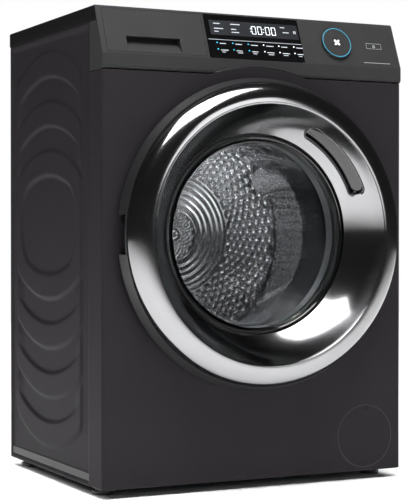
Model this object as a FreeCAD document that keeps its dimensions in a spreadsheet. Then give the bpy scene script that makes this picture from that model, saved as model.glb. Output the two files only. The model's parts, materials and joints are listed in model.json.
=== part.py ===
"""Front-loading washing machine: cabinet, sprung tub, drum, door, drawer and controls.

Millimetres. +X is to the right of someone facing the machine, +Y goes to its back and +Z up.
The origin is on the floor, in the middle of the machine's box.
"""
import FreeCAD, Part
import Sketcher
import math
import os
import re

# Driving dimensions: plain numbers in a spreadsheet, each under the name used in every formula below.
SIZES = {
    # cabinet
    "cabinet_width": 600, "cabinet_height": 845, "cabinet_depth": 470, "foot_gap": 15,
    "sheet": 1.2, "seam": 0.5, "corner_radius": 7, "side_flange": 18, "front_flange": 56,
    "worktop_thickness": 27, "worktop_overhang": 12, "worktop_gap": 4,
    "rear_inset": 1.3, "base_wall": 2.5, "base_height": 22, "floor_thickness": 3,
    # control fascia
    "fascia_bottom": 732.5, "fascia_bend": 760, "fascia_tilt": 21.8, "fascia_wall": 3,
    "arch_radius": 297.5, "arch_gap": 0.8,
    "display_half": 95.5, "display_low": 1, "display_high": 87.5, "display_corner": 6,
    "dial_x": 168.5, "dial_s": 43.7, "dial_radius": 30, "dial_height": 5, "dial_hub": 6,
    "start_radius": 11, "button_gap": 0.4,
    "power_x": 250.4, "power_s": 43.2, "power_width": 35, "power_height": 13.6,
    # detergent drawer
    "drawer_left": -290, "drawer_right": -100, "drawer_low": 3, "drawer_high": 86.5,
    "drawer_gap": 0.6, "tray_wall": 2, "tray_floor": 765, "tray_top": 808, "tray_length": 192,
    "housing_floor": 761, "housing_top": 816,
    "grip_left": -251, "grip_right": -149,
    # drum, tub and door axis
    "axis_height": 451, "drum_radius": 238, "drum_sheet": 1.2, "drum_mouth": 178,
    "tub_bore": 250, "tub_wall": 5, "tub_neck": 172.5, "neck_wall": 2.5, "tub_flange": 268,
    "shaft_radius": 15, "bearing_radius": 26, "hub_radius": 42,
    "lifter_base": 30, "lifter_tip": 13, "lifter_height": 44, "lifter_length": 280, "lifter_wall": 2,
    "pulley_radius": 145, "motor_pulley_radius": 11, "belt_thickness": 3.6, "belt_gap": 0.4,
    # motor
    "motor_x": -30, "motor_height": 118, "motor_radius": 45, "motor_shaft": 6,
    # suspension
    "spring_x": 235, "spring_y": 50, "spring_radius": 12, "spring_wire": 1.6,
    "spring_top": 798, "spring_foot": 602,
    "damper_x": 165, "damper_y": 100, "damper_radius": 14, "rod_radius": 5,
    # door
    "door_radius": 268.5, "door_depth": 62, "rim_height": 30.3, "ridge_radius": 231, "frame_radius": 277,
    "window_radius": 174.5, "porthole_radius": 206, "door_standoff": 2,
    "hinge_x": -261, "hinge_out": 18, "pin_radius": 2.5, "pin_play": 0.06, "ear_low": 26, "ear_high": 31,
    "hook_x": 235,
    # service hatch, filter and pump
    "hatch_x": 222, "hatch_height": 80, "hatch_radius": 56.2, "hatch_gap": 0.5,
    "filter_radius": 29, "filter_wall": 4, "volute_radius": 40,
    # water and mains
    "inlet_x": 205, "inlet_height": 793, "inlet_radius": 13.2,
    "outlet_x": 250, "outlet_height": 300, "outlet_radius": 10.5,
    "gland_x": -230, "gland_height": 700, "gland_bore": 4.5,
    "sump_x": 90, "sump_radius": 18,
    # feet
    "foot_x": 273, "foot_front": 66, "foot_back": 40, "pad_radius": 18, "pad_height": 10,
    "stem_radius": 5, "stem_play": 0.4, "stem_top": 50,
}
OUTPUT_FOLDER = "parts"

document = FreeCAD.newDocument("washing_machine")
sheet = document.addObject("Spreadsheet::Sheet", "Sizes")
for row, (name, value) in enumerate(SIZES.items(), start=1):
    sheet.set(f"A{row}", name)
    sheet.set(f"B{row}", str(value))
    sheet.setAlias(f"B{row}", name)
document.recompute()

nodes = []


# ---------------------------------------------------------------- formulas and binding

def formula(text):
    """The formula with each size's name pointed at its spreadsheet cell."""
    return re.sub(r"[a-z]\w*", lambda word: f"Sizes.{word[0]}" if word[0] in SIZES else word[0], str(text))


def number(text):
    return float(sheet.evalExpression(formula(text)))


def bind(item, **formulas):
    for name, text in formulas.items():
        item.setExpression(name, formula(text))


def place(item, x=0, y=0, z=0, axis=(1, 0, 0), angle=0):
    """Puts an object at x, y, z, turned about one axis by an angle; every value is a bound formula."""
    first_angle = number(angle)
    item.Placement = FreeCAD.Placement(FreeCAD.Vector(),
                                       FreeCAD.Rotation(FreeCAD.Vector(*axis), first_angle))
    if first_angle:
        item.setExpression("Placement.Rotation.Angle", formula(angle))
    for letter, text in zip("xyz", (x, y, z)):
        item.setExpression(f"Placement.Base.{letter}", formula(text))
    return item


# ---------------------------------------------------------------- reference places

FRONT = "(0 - (cabinet_depth + worktop_overhang - door_depth) / 2)"
BACK = f"({FRONT} + cabinet_depth)"
HALF = "(cabinet_width / 2)"
TOP = "(cabinet_height - worktop_thickness)"
SETBACK = "((cabinet_height - fascia_bend) * tan(fascia_tilt))"
AXIS = "axis_height"


def out(distance):
    """The y of a place that many millimetres in front of the front panel's face."""
    return f"({FRONT} - ({distance}))"


def inward(distance):
    return f"({FRONT} + ({distance}))"


def from_back(distance):
    """The y of a place that many millimetres behind the cabinet's back."""
    return f"({BACK} + ({distance}))"


def on_fascia(depth, up):
    """y and z of a place on the tilted face: depth behind the face, and up from its bend."""
    return (f"{FRONT} + ({depth}) * cos(fascia_tilt) + ({up}) * sin(fascia_tilt)",
            f"fascia_bend - ({depth}) * sin(fascia_tilt) + ({up}) * cos(fascia_tilt)")


# ---------------------------------------------------------------- building blocks

def box(x, y, z):
    item = document.addObject("Part::Box", "Block")
    bind(item, Length=f"({x[1]}) - ({x[0]})", Width=f"({y[1]}) - ({y[0]})", Height=f"({z[1]}) - ({z[0]})")
    return place(item, x[0], y[0], z[0])


TURNS = {"X": ((0, 1, 0), 90), "Y": ((1, 0, 0), -90), "Z": ((1, 0, 0), 0)}


def cylinder(direction, start, radius, length):
    """A cylinder from its start point along +X, +Y or +Z."""
    item = document.addObject("Part::Cylinder", "Round")
    bind(item, Radius=radius, Height=length)
    axis, angle = TURNS[direction]
    return place(item, *start, axis=axis, angle=angle)


def rod_y(x, z, radius, y):
    return cylinder("Y", (x, y[0], z), radius, f"({y[1]}) - ({y[0]})")


def rod_z(x, y, radius, z):
    return cylinder("Z", (x, y, z[0]), radius, f"({z[1]}) - ({z[0]})")


def cut(base, *tools):
    item = document.addObject("Part::Cut", "Cut")
    item.Base = base
    item.Tool = tools[0] if len(tools) == 1 else fuse(*tools)
    return item


def fuse(*items):
    item = document.addObject("Part::MultiFuse", "Joined")
    item.Shapes = list(items)
    return item


def group(*items):
    """Separate solids that share one node."""
    item = document.addObject("Part::Compound", "Group")
    item.Links = list(items)
    return item


def dimension(sketch, kind, *where):
    """One dimension of a sketch, bound to its formula."""
    geometry, text = where[:-1], where[-1]
    index = sketch.addConstraint(Sketcher.Constraint(kind, *geometry, number(text)))
    sketch.setExpression(f"Constraints[{index}]", formula(text))


def outline(sketch, corners):
    """A closed polygon whose corners are each dimensioned from the sketch's origin."""
    points = [FreeCAD.Vector(number(u), number(v), 0) for u, v in corners]
    first = sketch.GeometryCount
    count = len(points)
    for index, point in enumerate(points):
        sketch.addGeometry(Part.LineSegment(point, points[(index + 1) % count]), False)
    for index, (u, v) in enumerate(corners):
        following = first + (index + 1) % count
        sketch.addConstraint(Sketcher.Constraint("Coincident", first + index, 2, following, 1))
        dimension(sketch, "DistanceX", -1, 1, first + index, 1, u)
        dimension(sketch, "DistanceY", -1, 1, first + index, 1, v)


def new_body():
    return document.addObject("PartDesign::Body", "Body")


def new_sketch(body, plane, corners):
    origin_plane = next(f for f in body.Origin.OriginFeatures if f.Role == plane + "_Plane")
    sketch = body.newObject("Sketcher::SketchObject", "Sketch")
    sketch.AttachmentSupport = (origin_plane, "")
    sketch.MapMode = "FlatFace"
    outline(sketch, corners)
    return sketch


def prism(plane, corners, length, at=(0, 0, 0), angle=0):
    """A padded outline. Its plane is XY (pads up), XZ (pads to the front) or YZ (pads to the right)."""
    body = new_body()
    sketch = new_sketch(body, plane, corners)
    pad = body.newObject("PartDesign::Pad", "Pad")
    pad.Profile = sketch
    bind(pad, Length=length)
    return place(body, *at, angle=angle)


def turned(corners, x=0, z=AXIS, sweep=360, start=0):
    """A body turned about an axis along Y through x, z; its corners are radius and y.

    A sweep under 360 degrees begins at the start angle, counted from +X towards +Z.
    """
    body = new_body()
    sketch = new_sketch(body, "XY", corners)
    turn = body.newObject("PartDesign::Revolution", "Turn")
    turn.Profile = sketch
    turn.ReferenceAxis = (sketch, ["V_Axis"])
    turn.Reversed = sweep < 360
    bind(turn, Angle=sweep)
    return place(body, x, 0, z, axis=(0, 1, 0), angle=-start)


def fillet(body, radius, wanted):
    """Rounds the edges of a body that the test picks."""
    document.recompute()
    base = body.Tip
    names = [f"Edge{i}" for i, edge in enumerate(base.Shape.Edges, start=1) if wanted(edge)]
    feature = body.newObject("PartDesign::Fillet", "Rounding")
    feature.Base = (base, names)
    bind(feature, Radius=radius)
    return body


def panel_plate(corners, back, thickness):
    """A plate parallel to the fascia's tilted face; its corners are x and the distance up the slope."""
    y, z = on_fascia(back, 0)
    return prism("XZ", corners, thickness, (0, y, z), "0 - fascia_tilt")


def panel_rod(x, up, radius, back, length):
    """A cylinder square to the fascia's tilted face, from a depth behind it towards the front."""
    y, z = on_fascia(back, up)
    item = document.addObject("Part::Cylinder", "Round")
    bind(item, Radius=radius, Height=length)
    return place(item, x, y, z, angle="90 - fascia_tilt")


def rectangle(low_u, high_u, low_v, high_v):
    return [(low_u, low_v), (high_u, low_v), (high_u, high_v), (low_u, high_v)]


def ring(inner, outer, y, x=0, z=AXIS):
    return turned([(inner, y[0]), (outer, y[0]), (outer, y[1]), (inner, y[1])], x, z)


def spoke(angle, low, high, half_width, y):
    """A bar that points away from the drum's axis."""
    item = document.addObject("Part::Box", "Spoke")
    bind(item, Length=f"({high}) - ({low})", Width=f"({y[1]}) - ({y[0]})", Height=f"2 * ({half_width})")
    x = f"({low}) * cos({angle}) + ({half_width}) * sin({angle})"
    z = f"{AXIS} + ({low}) * sin({angle}) - ({half_width}) * cos({angle})"
    return place(item, x, y[0], z, axis=(0, 1, 0), angle=-angle)


def pipe(points, radius, bend, bore=0):
    """A round tube or bar along straight runs joined by tangent arcs."""
    places = [FreeCAD.Vector(*(number(value) for value in point)) for point in points]
    edges = []
    start = places[0]
    for before, corner, after in zip(places, places[1:], places[2:]):
        backward = (before - corner).normalize()
        forward = (after - corner).normalize()
        half_turn = (math.pi - backward.getAngle(forward)) / 2
        reach = number(bend) * math.tan(half_turn)
        arc_start = corner + backward * reach
        arc_end = corner + forward * reach
        middle = (backward + forward).normalize()
        centre = corner + middle * (number(bend) / math.cos(half_turn))
        edges.append(Part.LineSegment(start, arc_start).toShape())
        edges.append(Part.Arc(arc_start, centre - middle * number(bend), arc_end).toShape())
        start = arc_end
    edges.append(Part.LineSegment(start, places[-1]).toShape())
    path = Part.Wire(edges)
    first_way = (places[1] - places[0]).normalize()

    def swept(size):
        section = Part.Wire([Part.Circle(places[0], first_way, number(size)).toShape()])
        return path.makePipeShell([section], True, False)

    shape = swept(radius)
    if bore:
        shape = shape.cut(swept(bore))
    item = document.addObject("Part::Feature", "Pipe")
    item.Shape = shape
    item.Placement = FreeCAD.Placement()
    return item


def node(label, item):
    """Marks an object as a finished sub-part, written under its label."""
    item.Label = label
    nodes.append(item)
    return item


# ---------------------------------------------------------------- cabinet

def side_panel(label, side):
    """A folded sheet with a flange along its front and its back, and the suspension spring's bracket."""
    def at(inset):
        return f"{side} * ({HALF} - ({inset}))"
    front = inward("front_flange + seam")
    corners = [
        (at(0), front), (at(0), BACK), (at("side_flange"), BACK), (at("side_flange"), f"{BACK} - sheet"),
        (at("sheet"), f"{BACK} - sheet"), (at("sheet"), f"{front} + sheet"),
        (at("side_flange"), f"{front} + sheet"), (at("side_flange"), front),
    ]
    skin = prism("XY", corners, f"{TOP} - seam - foot_gap", (0, 0, "foot_gap"))
    inner = sorted((at("sheet"), f"{side} * (spring_x - spring_radius)"), key=number)
    hanger = box(inner, ("spring_y - 8", "spring_y + 8"), ("spring_top + 1", "spring_top + 5"))
    beside_drawer = sorted((at("sheet"), at("side_flange + 1")), key=number)
    drawer_room = box(beside_drawer, (f"{front} - 1", f"{front} + 3"), ("fascia_bottom", TOP))
    node(label, fuse(cut(skin, drawer_room), hanger))


def front_panel():
    """A sheet folded back at both sides, with a collared porthole and an arched top."""
    back = inward("front_flange")
    corners = [
        (f"-1 * {HALF}", back), (f"-1 * {HALF}", FRONT), (HALF, FRONT), (HALF, back),
        (f"{HALF} - sheet", back), (f"{HALF} - sheet", inward("sheet")),
        (f"sheet - {HALF}", inward("sheet")), (f"sheet - {HALF}", back),
    ]
    bottom = "foot_gap + 2"
    highest = f"{AXIS} + arch_radius - arch_gap"
    skin = prism("XY", corners, f"{highest} - ({bottom})", (0, 0, bottom))
    front_y = number(FRONT)
    half = number(HALF)

    def is_corner(edge, inset, depth):
        middle = edge.CenterOfMass
        return abs(abs(middle.x) - half + inset) < 0.01 and abs(middle.y - front_y - depth) < 0.01

    thick = number("sheet")
    fillet(skin, "corner_radius", lambda edge: is_corner(edge, 0, 0))
    fillet(skin, "corner_radius - sheet", lambda edge: is_corner(edge, thick, thick))
    above = box((f"-1 * {HALF} - 1", f"{HALF} + 1"), (out(1), inward("front_flange + 1")),
                ("fascia_bottom - arch_gap", f"{highest} + 1"))
    arch = cut(above, rod_y(0, AXIS, "arch_radius - arch_gap", (out(2), inward("front_flange + 2"))))
    through = (out(1), inward("sheet + 1"))
    porthole = rod_y(0, AXIS, "porthole_radius", through)
    hatch_hole = rod_y("hatch_x", "hatch_height", "hatch_radius + hatch_gap", through)
    hook_slot = box(("hook_x - 7", "hook_x + 12"), through, (f"{AXIS} - 16", f"{AXIS} + 16"))
    ear_slots = [
        box(("hinge_x - 5", "hinge_x + 5"), through, (f"{AXIS} + {low}", f"{AXIS} + {high}"))
        for low, high in (("ear_low - 1", "ear_high + 1"), ("(0 - ear_high - 1)", "(0 - ear_low + 1)"))
    ]
    pierced = cut(skin, arch, porthole, hatch_hole, hook_slot, *ear_slots)
    collar = ring("porthole_radius - sheet", "porthole_radius", (FRONT, inward(13)))
    hem = box((f"corner_radius - {HALF}", f"{HALF} - corner_radius"), (inward("sheet"), inward(7.5)),
              (bottom, f"{bottom} + sheet"))
    node("front_panel", fuse(pierced, collar, hem))


def base_frame():
    """A tray with four threaded corner blocks and two damper beams."""
    low, high = "foot_gap", "foot_gap + base_height"
    side = f"({HALF} - sheet - seam)"
    front, back = inward(8), from_back("-3")
    shell = box((f"-1 * {side}", side), (front, back), (low, high))
    hollow = box((f"base_wall - {side}", f"{side} - base_wall"),
                 (f"{front} + base_wall", f"{back} - base_wall"),
                 (f"{low} + floor_thickness", f"{high} + 1"))
    opening = box((f"90 - {side}", f"{side} - 90"), (f"{front} + 90", f"{back} - 70"),
                  (f"{low} - 1", f"{high} + 1"))
    beams = [
        box((f"{x} * damper_x - 16", f"{x} * damper_x + 16"),
            (f"{front} + base_wall", f"{back} - base_wall"),
            (low, "foot_gap + 15"))
        for x in (-1, 1)
    ]
    blocks = [
        rod_z(f"{x} * foot_x", y, "stem_radius + 8", (f"{low} + 1", "stem_top - 2"))
        for x in (-1, 1) for y in (inward("foot_front"), from_back("0 - foot_back"))
    ]
    bores = [
        rod_z(f"{x} * foot_x", y, "stem_radius + stem_play", (f"{low} - 1", "stem_top + 1"))
        for x in (-1, 1) for y in (inward("foot_front"), from_back("0 - foot_back"))
    ]
    flange_notches = [
        box(sorted((f"{x} * ({side} - side_flange)", f"{x} * ({side} + 1)"), key=number),
            (inward("front_flange - 1"), inward("front_flange + 3")), (f"{low} - 1", "stem_top"))
        for x in (-1, 1)
    ]
    node("base_frame", cut(fuse(cut(shell, hollow, opening), *beams, *blocks), *bores, *flange_notches))


REAR_SCREWS = [(x, z) for x in (-270, 270) for z in (75, 400, 740)] + [(x, 800) for x in (-120, 0, 120)]
COVER_SCREWS = [
    (f"160 * cos({angle})", f"{AXIS} + 160 * sin({angle})") for angle in range(30, 390, 60)
]


def rear_panel():
    """The rear sheet, its round service cover and the screws that hold both."""
    inside = f"({HALF} - sheet - seam)"
    y = (from_back("0 - rear_inset - sheet"), from_back("0 - rear_inset"))
    plate = box((f"-1 * {inside}", inside), y, ("foot_gap + base_height + 1", f"{TOP} - seam"))
    through = (f"{y[0]} - 1", f"{y[1]} + 1")
    holes = [
        rod_y(0, AXIS, 152, through),
        rod_y("inlet_x", "inlet_height", "inlet_radius + 0.6", through),
        rod_y("outlet_x", "outlet_height", "outlet_radius - 0.8", through),
        rod_y("gland_x", "gland_height", 10.4, through),
    ]
    holes += [rod_y(x, z, 2.2, through) for x, z in REAR_SCREWS + COVER_SCREWS]
    node("rear_panel", cut(plate, *holes))
    cover_back = from_back("0 - rear_inset + 0.1")
    corners = [
        (0, from_back(8)), (0, from_back("8 + sheet")), (135, from_back("8 + sheet")),
        (152, f"{cover_back} + sheet"), (168, f"{cover_back} + sheet"), (168, cover_back),
        (151, cover_back), (134, from_back(8)),
    ]
    cover_holes = [rod_y(x, z, 2.2, (from_back(-3), from_back(12))) for x, z in COVER_SCREWS]
    node("rear_service_cover", cut(turned(corners), *cover_holes))
    node("panel_screws", group(*[
        fuse(rod_y(x, z, 1.8, (from_back(-9), from_back(seat))),
             rod_y(x, z, 4, (from_back(seat), from_back(f"{seat} + 2"))))
        for places, seat in (
            (REAR_SCREWS, "(0.1 - rear_inset)"), (COVER_SCREWS, "(0.3 - rear_inset + sheet)"))
        for x, z in places]))


def worktop():
    """A thick slab that overhangs the back; its front edge leans with the fascia."""
    def front_at(z):
        return f"{FRONT} + worktop_gap + ({z} - fascia_bend) * tan(fascia_tilt)"
    corners = [
        (front_at(TOP), TOP), (f"{BACK} + worktop_overhang", TOP),
        (f"{BACK} + worktop_overhang", "cabinet_height"), (front_at("cabinet_height"), "cabinet_height"),
    ]
    node("worktop", prism("YZ", corners, "cabinet_width", (f"-1 * {HALF}", 0, 0)))


def crossbar():
    """A channel that ties the two sides together behind the top of the front panel."""
    width = f"({HALF} - fascia_wall - seam)"
    y = (inward(5), inward(34))
    outer = box((f"-1 * {width}", width), y, (736, 758))
    inner = box((f"-1 * {width} - 1", f"{width} + 1"), (f"{y[0]} + 1.5", f"{y[1]} + 1"), (737.5, 756.5))
    node("front_crossbar", cut(outer, inner))


def fascia():
    """The upright lower band and the tilted control face, with cheeks that wrap round both sides."""
    wall = "fascia_wall"
    slope_wall = "(fascia_wall / cos(fascia_tilt))"
    cheek_back, cheek_top = inward("front_flange"), f"{TOP} - seam"
    lean = "tan(fascia_tilt)"
    skin = [
        (FRONT, "fascia_bottom"), (FRONT, "fascia_bend"), (f"{FRONT} + {SETBACK}", "cabinet_height"),
        (cheek_back, "cabinet_height"), (cheek_back, "fascia_bottom"),
    ]
    shell = prism("YZ", skin, "cabinet_width", (f"-1 * {HALF}", 0, 0))
    half = number(HALF)
    front_y = number(FRONT)

    def is_front_corner(edge):
        middle = edge.CenterOfMass
        above_bend = max(0, middle.z - number("fascia_bend"))
        leaning = front_y + above_bend * math.tan(math.radians(number("fascia_tilt")))
        return abs(abs(middle.x) - half) < 0.01 and abs(middle.y - leaning) < 0.01

    def is_top_end(edge):
        middle = edge.CenterOfMass
        return abs(abs(middle.x) - half) < 0.01 and abs(middle.z - number("cabinet_height")) < 0.01

    fillet(shell, "corner_radius", lambda edge: is_front_corner(edge) or is_top_end(edge))

    def plate_back(z):
        return f"{FRONT} + {slope_wall} + ({z} - fascia_bend) * {lean}"

    worktop_room = prism("YZ", [
        (plate_back(cheek_top), cheek_top), (f"{cheek_back} + 1", cheek_top),
        (f"{cheek_back} + 1", "cabinet_height + 5"),
        (plate_back("(cabinet_height + 5)"), "cabinet_height + 5"),
    ], "cabinet_width + 2", (f"-1 * {HALF} - 1", 0, 0))
    hollow = [
        (f"{FRONT} + {wall}", "fascia_bottom - 1"), (f"{FRONT} + {wall}", "fascia_bend"),
        (plate_back("(cabinet_height + 5)"), "cabinet_height + 5"),
        (f"{cheek_back} + 1", "cabinet_height + 5"), (f"{cheek_back} + 1", "fascia_bottom - 1"),
    ]
    inside = prism("YZ", hollow, f"cabinet_width - 2 * {wall}", (f"{wall} - {HALF}", 0, 0))
    arch = rod_y(0, AXIS, "arch_radius", (out(1), inward("front_flange + 1")))
    drawer_hole = panel_plate(rectangle("drawer_left", "drawer_right", "drawer_low", "drawer_high"), 8, 12)
    display_hole = panel_plate(rectangle("0 - display_half - 0.3", "display_half + 0.3", "display_low - 0.3",
                                         "display_high + 0.3"), 8, 12)
    dial_hole = panel_rod("dial_x", "dial_s", "dial_hub + 0.4", 8, 12)
    power_hole = panel_plate(rectangle("power_x - power_width / 2 - button_gap",
                                       "power_x + power_width / 2 + button_gap",
                                       "power_s - power_height / 2 - button_gap",
                                       "power_s + power_height / 2 + button_gap"), 8, 12)
    node("control_fascia",
         cut(shell, worktop_room, inside, arch, drawer_hole, display_hole, dial_hole, power_hole))


def display():
    """The glossy window, its lower corners rounded."""
    outline = rectangle("0 - display_half", "display_half", "display_low", "display_high")
    window = panel_plate(outline, 2.6, 3)

    def is_low_corner(edge):
        spans = edge.BoundBox
        middle = edge.CenterOfMass
        return spans.XLength < 0.01 and edge.Length < 3.5 and middle.z < number("fascia_bend + 6")

    node("display_window", fillet(window, "display_corner", is_low_corner))


def controls():
    """The dial with its hollow shaft, and the start and power push buttons."""
    cap = panel_rod("dial_x", "dial_s", "dial_radius", -0.5, "dial_height")
    hub = panel_rod("dial_x", "dial_s", "dial_hub", 16, 18)
    well = panel_rod("dial_x", "dial_s", "start_radius + 0.3", -2.3, 10)
    bore = panel_rod("dial_x", "dial_s", 3.4, 20, 30)
    node("selector_dial", cut(fuse(cap, hub), well, bore))
    button = panel_rod("dial_x", "dial_s", "start_radius", -3.7, 2)
    stem = panel_rod("dial_x", "dial_s", 3, 14, 18)
    node("start_button", fuse(button, stem))
    power = panel_plate(rectangle("power_x - power_width / 2", "power_x + power_width / 2",
                                  "power_s - power_height / 2", "power_s + power_height / 2"), 3, 3.4)
    plunger = panel_rod("power_x", "power_s", 3, 12, 10)
    node("power_button", fuse(power, plunger))


def dispenser():
    """The drawer's housing, its front with a scooped grip, and its three-part tray."""
    left, right = "drawer_left", "drawer_right"
    y = (inward(27), inward(237))
    outer = box((f"{left} - 4", f"{right} + 2"), y, ("housing_floor", "housing_top"))
    inner = box((f"{left} - 2", right), (f"{y[0]} - 1", f"{y[1]} - 2"),
                ("housing_floor + 2", "housing_top - 2"))
    spigot = cylinder("X", (f"{right} + 2", inward(200), "inlet_height"), 6, 14)
    inlet = cylinder("X", (f"{right} - 1", inward(200), "inlet_height"), 4.5, 20)
    node("dispenser_housing", cut(fuse(outer, spigot), inner, inlet))

    gap = "drawer_gap"
    face = panel_plate(rectangle(f"{left} + {gap}", f"{right} - {gap}", f"drawer_low + {gap}",
                                 f"drawer_high - {gap}"),
                       "fascia_wall", "fascia_wall")
    back = [(inward(2.8), 764.4), (inward(37), 795), (inward(14), 795)]
    scoop = prism("YZ", back, "grip_right - grip_left + 6", ("grip_left - 3", 0, 0))
    hollow = [(out(2.1), 761.4), (inward(31), 791.5), (inward(4), 791.5)]
    grip = prism("YZ", hollow, "grip_right - grip_left", ("grip_left", 0, 0))
    node("drawer_front", cut(fuse(face, scoop), grip))

    tray_left, tray_right = f"{left} + 1", f"{right} - 3"
    tray_y = (inward(38), inward("38 + tray_length"))
    body = box((tray_left, tray_right), tray_y, ("tray_floor", "tray_top"))
    cells = [
        box((low, high), (f"{tray_y[0]} + tray_wall", f"{tray_y[1]} - tray_wall"),
            ("tray_floor + tray_wall", "tray_top + 1"))
        for low, high in ((-287, -215), (-213, -165), (-163, -105))
    ]
    arms = [
        box((low, high), (inward(16.5), inward(39)), (768, 790))
        for low, high in ((-289, -285), (-107, -103))
    ]
    node("drawer_tray", fuse(cut(body, *cells), *arms))


def water_inlet():
    """The fill valve with its threaded spigot, and the hose to the dispenser."""
    x, z = "inlet_x", "inlet_height"
    block = box((f"{x} - 18", f"{x} + 18"), (from_back(-55), from_back(-4)), (f"{z} - 19", f"{z} + 19"))
    spigot = rod_y(x, z, "inlet_radius", (from_back(-4), from_back("worktop_overhang - 0.5")))
    collar = rod_y(x, z, "inlet_radius + 4", (from_back(-1.2), from_back(0.5)))
    coil = rod_z(x, from_back(-34), 12, (f"{z} - 44", f"{z} - 18"))
    nozzle = rod_y(x, z, 6, (from_back(-75), from_back(-55)))
    bore = rod_y(x, z, 9, (from_back(-10), from_back(20)))
    node("inlet_valve", cut(fuse(block, spigot, collar, coil, nozzle), bore))
    turn_y = inward(375)
    route = [
        (x, from_back(-57), z), (x, turn_y, z), (-60, turn_y, z), (-60, inward(200), z),
        ("drawer_right + 4", inward(200), z),
    ]
    node("valve_hose", pipe(route, 9, 22, 6.3))


def electrics():
    box_x, box_y, box_z = (112, 285), (inward(80), inward(230)), (772, 812)
    outer = box(box_x, box_y, box_z)
    inner = box((114, 283), (f"{box_y[0]} + 2", f"{box_y[1]} - 2"), (774, 813))
    board = box((118, 279), (f"{box_y[0]} + 6", f"{box_y[1]} - 6"), (780, 782))
    capacitors = [rod_z(x, inward(150), 9, (782, 806)) for x in (150, 180, 240)]
    posts = [rod_z(x, y, 3, (773, 781)) for x in (126, 271) for y in (inward(94), inward(216))]
    node("control_box", fuse(cut(outer, inner), board, *capacitors, *posts))

    flange = rod_y("gland_x", "gland_height", 14, (from_back(-1.1), from_back(3)))
    neck = rod_y("gland_x", "gland_height", 10, (from_back(-12), from_back(-1)))
    nose = rod_y("gland_x", "gland_height", 9, (from_back(2), from_back(10)))
    hole = rod_y("gland_x", "gland_height", "gland_bore", (from_back(-20), from_back(20)))
    node("mains_gland", cut(fuse(flange, neck, nose), hole))


def door_fittings():
    """The hinge's bracket with its pin, and the lock, both behind the front panel."""
    plate = box(("hinge_x - 20", "hinge_x + 20"), (inward("sheet + 0.1"), inward("sheet + 2")),
                (f"{AXIS} - 50", f"{AXIS} + 50"))
    ears = []
    for low, high in (("ear_low", "ear_high"), ("(0 - ear_high)", "(0 - ear_low)")):
        span = (f"{AXIS} + {low}", f"{AXIS} + {high}")
        arm = box(("hinge_x - 4", "hinge_x + 4"), (out("hinge_out"), inward("sheet + 1")), span)
        ears += [arm, rod_z("hinge_x", out("hinge_out"), 4, span)]
    pin = rod_z("hinge_x", out("hinge_out"), "pin_radius", (f"{AXIS} - ear_high", f"{AXIS} + ear_high"))
    node("door_hinge_bracket", fuse(plate, *ears, pin))

    case = box(("hook_x - 13", "hook_x + 25"), (inward("sheet + 0.1"), inward(27)),
               (f"{AXIS} - 42", f"{AXIS} + 42"))
    mouth = box(("hook_x - 8", "hook_x + 14"), (inward(1), inward(23)), (f"{AXIS} - 17", f"{AXIS} + 17"))
    plug = box(("hook_x - 6", "hook_x + 18"), (inward(15), inward(24)), (f"{AXIS} - 52", f"{AXIS} - 41"))
    node("door_lock", cut(fuse(case, plug), mouth))


# ---------------------------------------------------------------- sprung tub

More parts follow.
